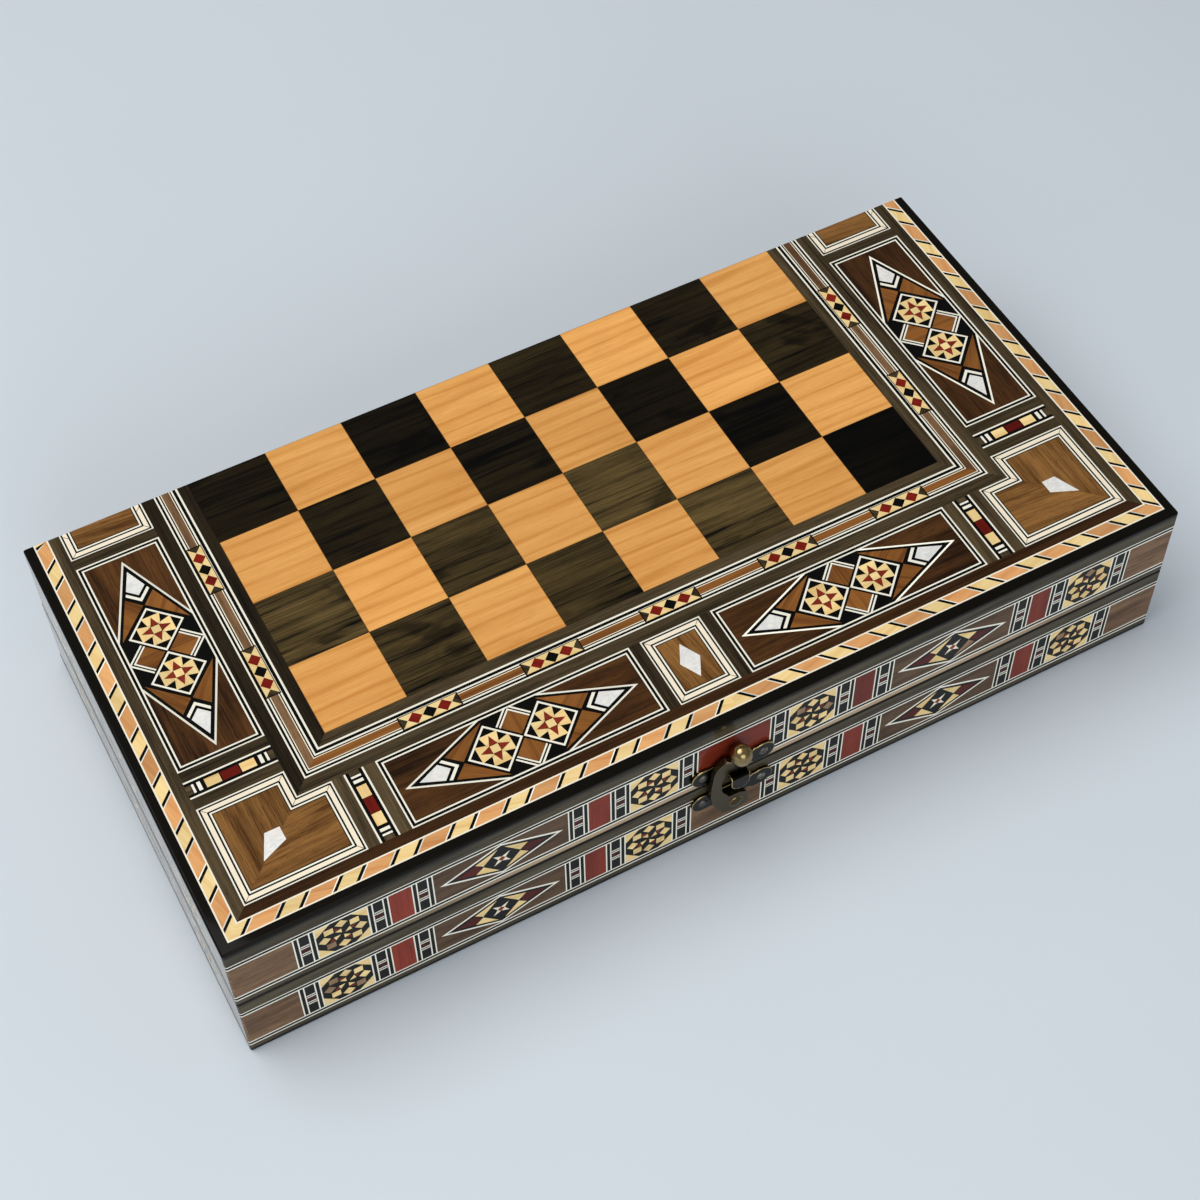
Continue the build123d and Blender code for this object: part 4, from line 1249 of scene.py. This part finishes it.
class CHESSBOX_OT_stage(Operator):
    """Lay the floor and set the lamps, the sky and the camera"""

    bl_idname = "chessbox.stage"
    bl_label = "Studio"

    def execute(self, context):
        scene = context.scene
        stage = scene.chessbox_stage
        scene.view_settings.view_transform = "Standard"
        lay_floor(scene, tuple(stage.floor))
        world = bpy.data.worlds.new("Plain sky")
        scene.world = world
        world.use_nodes = True
        sky = {"Color": (0.95, 0.98, 1.0), "Strength": stage.sky}
        fill(world.node_tree.nodes["Background"], sky)
        add_lamp(scene, "Key lamp", stage.key, 1.3, (-0.5, 0.25, 1.35), (1.0, 0.985, 0.95))
        add_lamp(scene, "Fill lamp", stage.fill, 1.2, (-0.3, -1.4, 0.75), (0.95, 0.98, 1.0))
        data = bpy.data.cameras.new("Camera")
        data.lens, data.sensor_width = stage.lens, 36
        data.clip_start, data.clip_end = 0.01, 20
        place, ahead = (-0.18762, -0.36251, 0.58259), (0.26918, 0.52379, -0.80820)
        scene.camera = add_aimed(scene, data, place, ahead, -1.23)
        return {"FINISHED"}


def lay_floor(scene, shade):
    """A round plain floor: one flat face on a rim of points at even angles."""
    radius, count = 6, 96
    angles = np.linspace(0, 2 * math.pi, count, endpoint=False)
    rim = np.stack([np.cos(angles), np.sin(angles), np.zeros(count)], 1) * radius
    mesh = bpy.data.meshes.new("Floor")
    mesh.from_pydata(rim, [], [list(range(count))])
    floor = bpy.data.objects.new("Floor", mesh)
    scene.collection.objects.link(floor)
    material, tree, shader = new_material("Plain floor")
    cloud = noise(object_place(tree) * 0.004, 3, 0.5)
    tint = scaled(shade, remap(cloud, 0.3, 0.7, 0.985, 1.015))
    fill(shader, {"Base Color": tint, "Roughness": 0.7, "Specular IOR Level": 0.2})
    mesh.materials.append(material)


def add_lamp(scene, name, power, size, place, shade):
    """A round lamp that looks at the middle of the scene."""
    data = bpy.data.lights.new(name, "AREA")
    data.shape, data.size, data.energy, data.color = "DISK", size, power, shade
    add_aimed(scene, data, place, -Vector(place))


def add_aimed(scene, data, place, ahead, roll=0):
    """A lamp or a camera that looks along a direction, rolled by some degrees."""
    item = bpy.data.objects.new(data.name, data)
    scene.collection.objects.link(item)
    item.location = place
    item.rotation_mode = "QUATERNION"
    aim = Vector(ahead).to_track_quat("-Z", "Y")
    item.rotation_quaternion = aim @ Quaternion((0, 0, 1), math.radians(roll))
    return item


class CHESSBOX_PT_panel(Panel):
    """Lists the operators and the sizes and colours that they use"""

    bl_idname = "CHESSBOX_PT_panel"
    bl_label = "Chess Box"
    bl_space_type = "VIEW_3D"
    bl_region_type = "UI"
    bl_category = "Chess Box"

    def draw(self, context):
        for operator in OPERATORS:
            self.layout.operator(operator.bl_idname)
        for name, group in SETTINGS.items():
            column = self.layout.column(heading=group.__doc__)
            for item in group.__annotations__:
                column.prop(getattr(context.scene, name), item)


OPERATORS = (
    CHESSBOX_OT_stage,
    CHESSBOX_OT_rails,
    CHESSBOX_OT_squares,
    CHESSBOX_OT_inlays,
    CHESSBOX_OT_trays,
    CHESSBOX_OT_fittings,
)
SETTINGS = {
    "chessbox_face": FaceSizes,
    "chessbox_woods": WoodColours,
    "chessbox_metal": MetalColours,
    "chessbox_stage": StageSettings,
}


def register():
    for item in (*SETTINGS.values(), *OPERATORS, CHESSBOX_PT_panel):
        bpy.utils.register_class(item)
    for name, group in SETTINGS.items():
        setattr(bpy.types.Scene, name, PointerProperty(type=group))


def unregister():
    for name in SETTINGS:
        delattr(bpy.types.Scene, name)
    for item in reversed((*SETTINGS.values(), *OPERATORS, CHESSBOX_PT_panel)):
        bpy.utils.unregister_class(item)


def main():
    register()
    bpy.ops.chessbox.stage()
    bpy.ops.chessbox.rails()
    bpy.ops.chessbox.squares()
    bpy.ops.chessbox.inlays()
    bpy.ops.chessbox.trays()
    bpy.ops.chessbox.fittings()


if __name__ == "__main__":
    main()
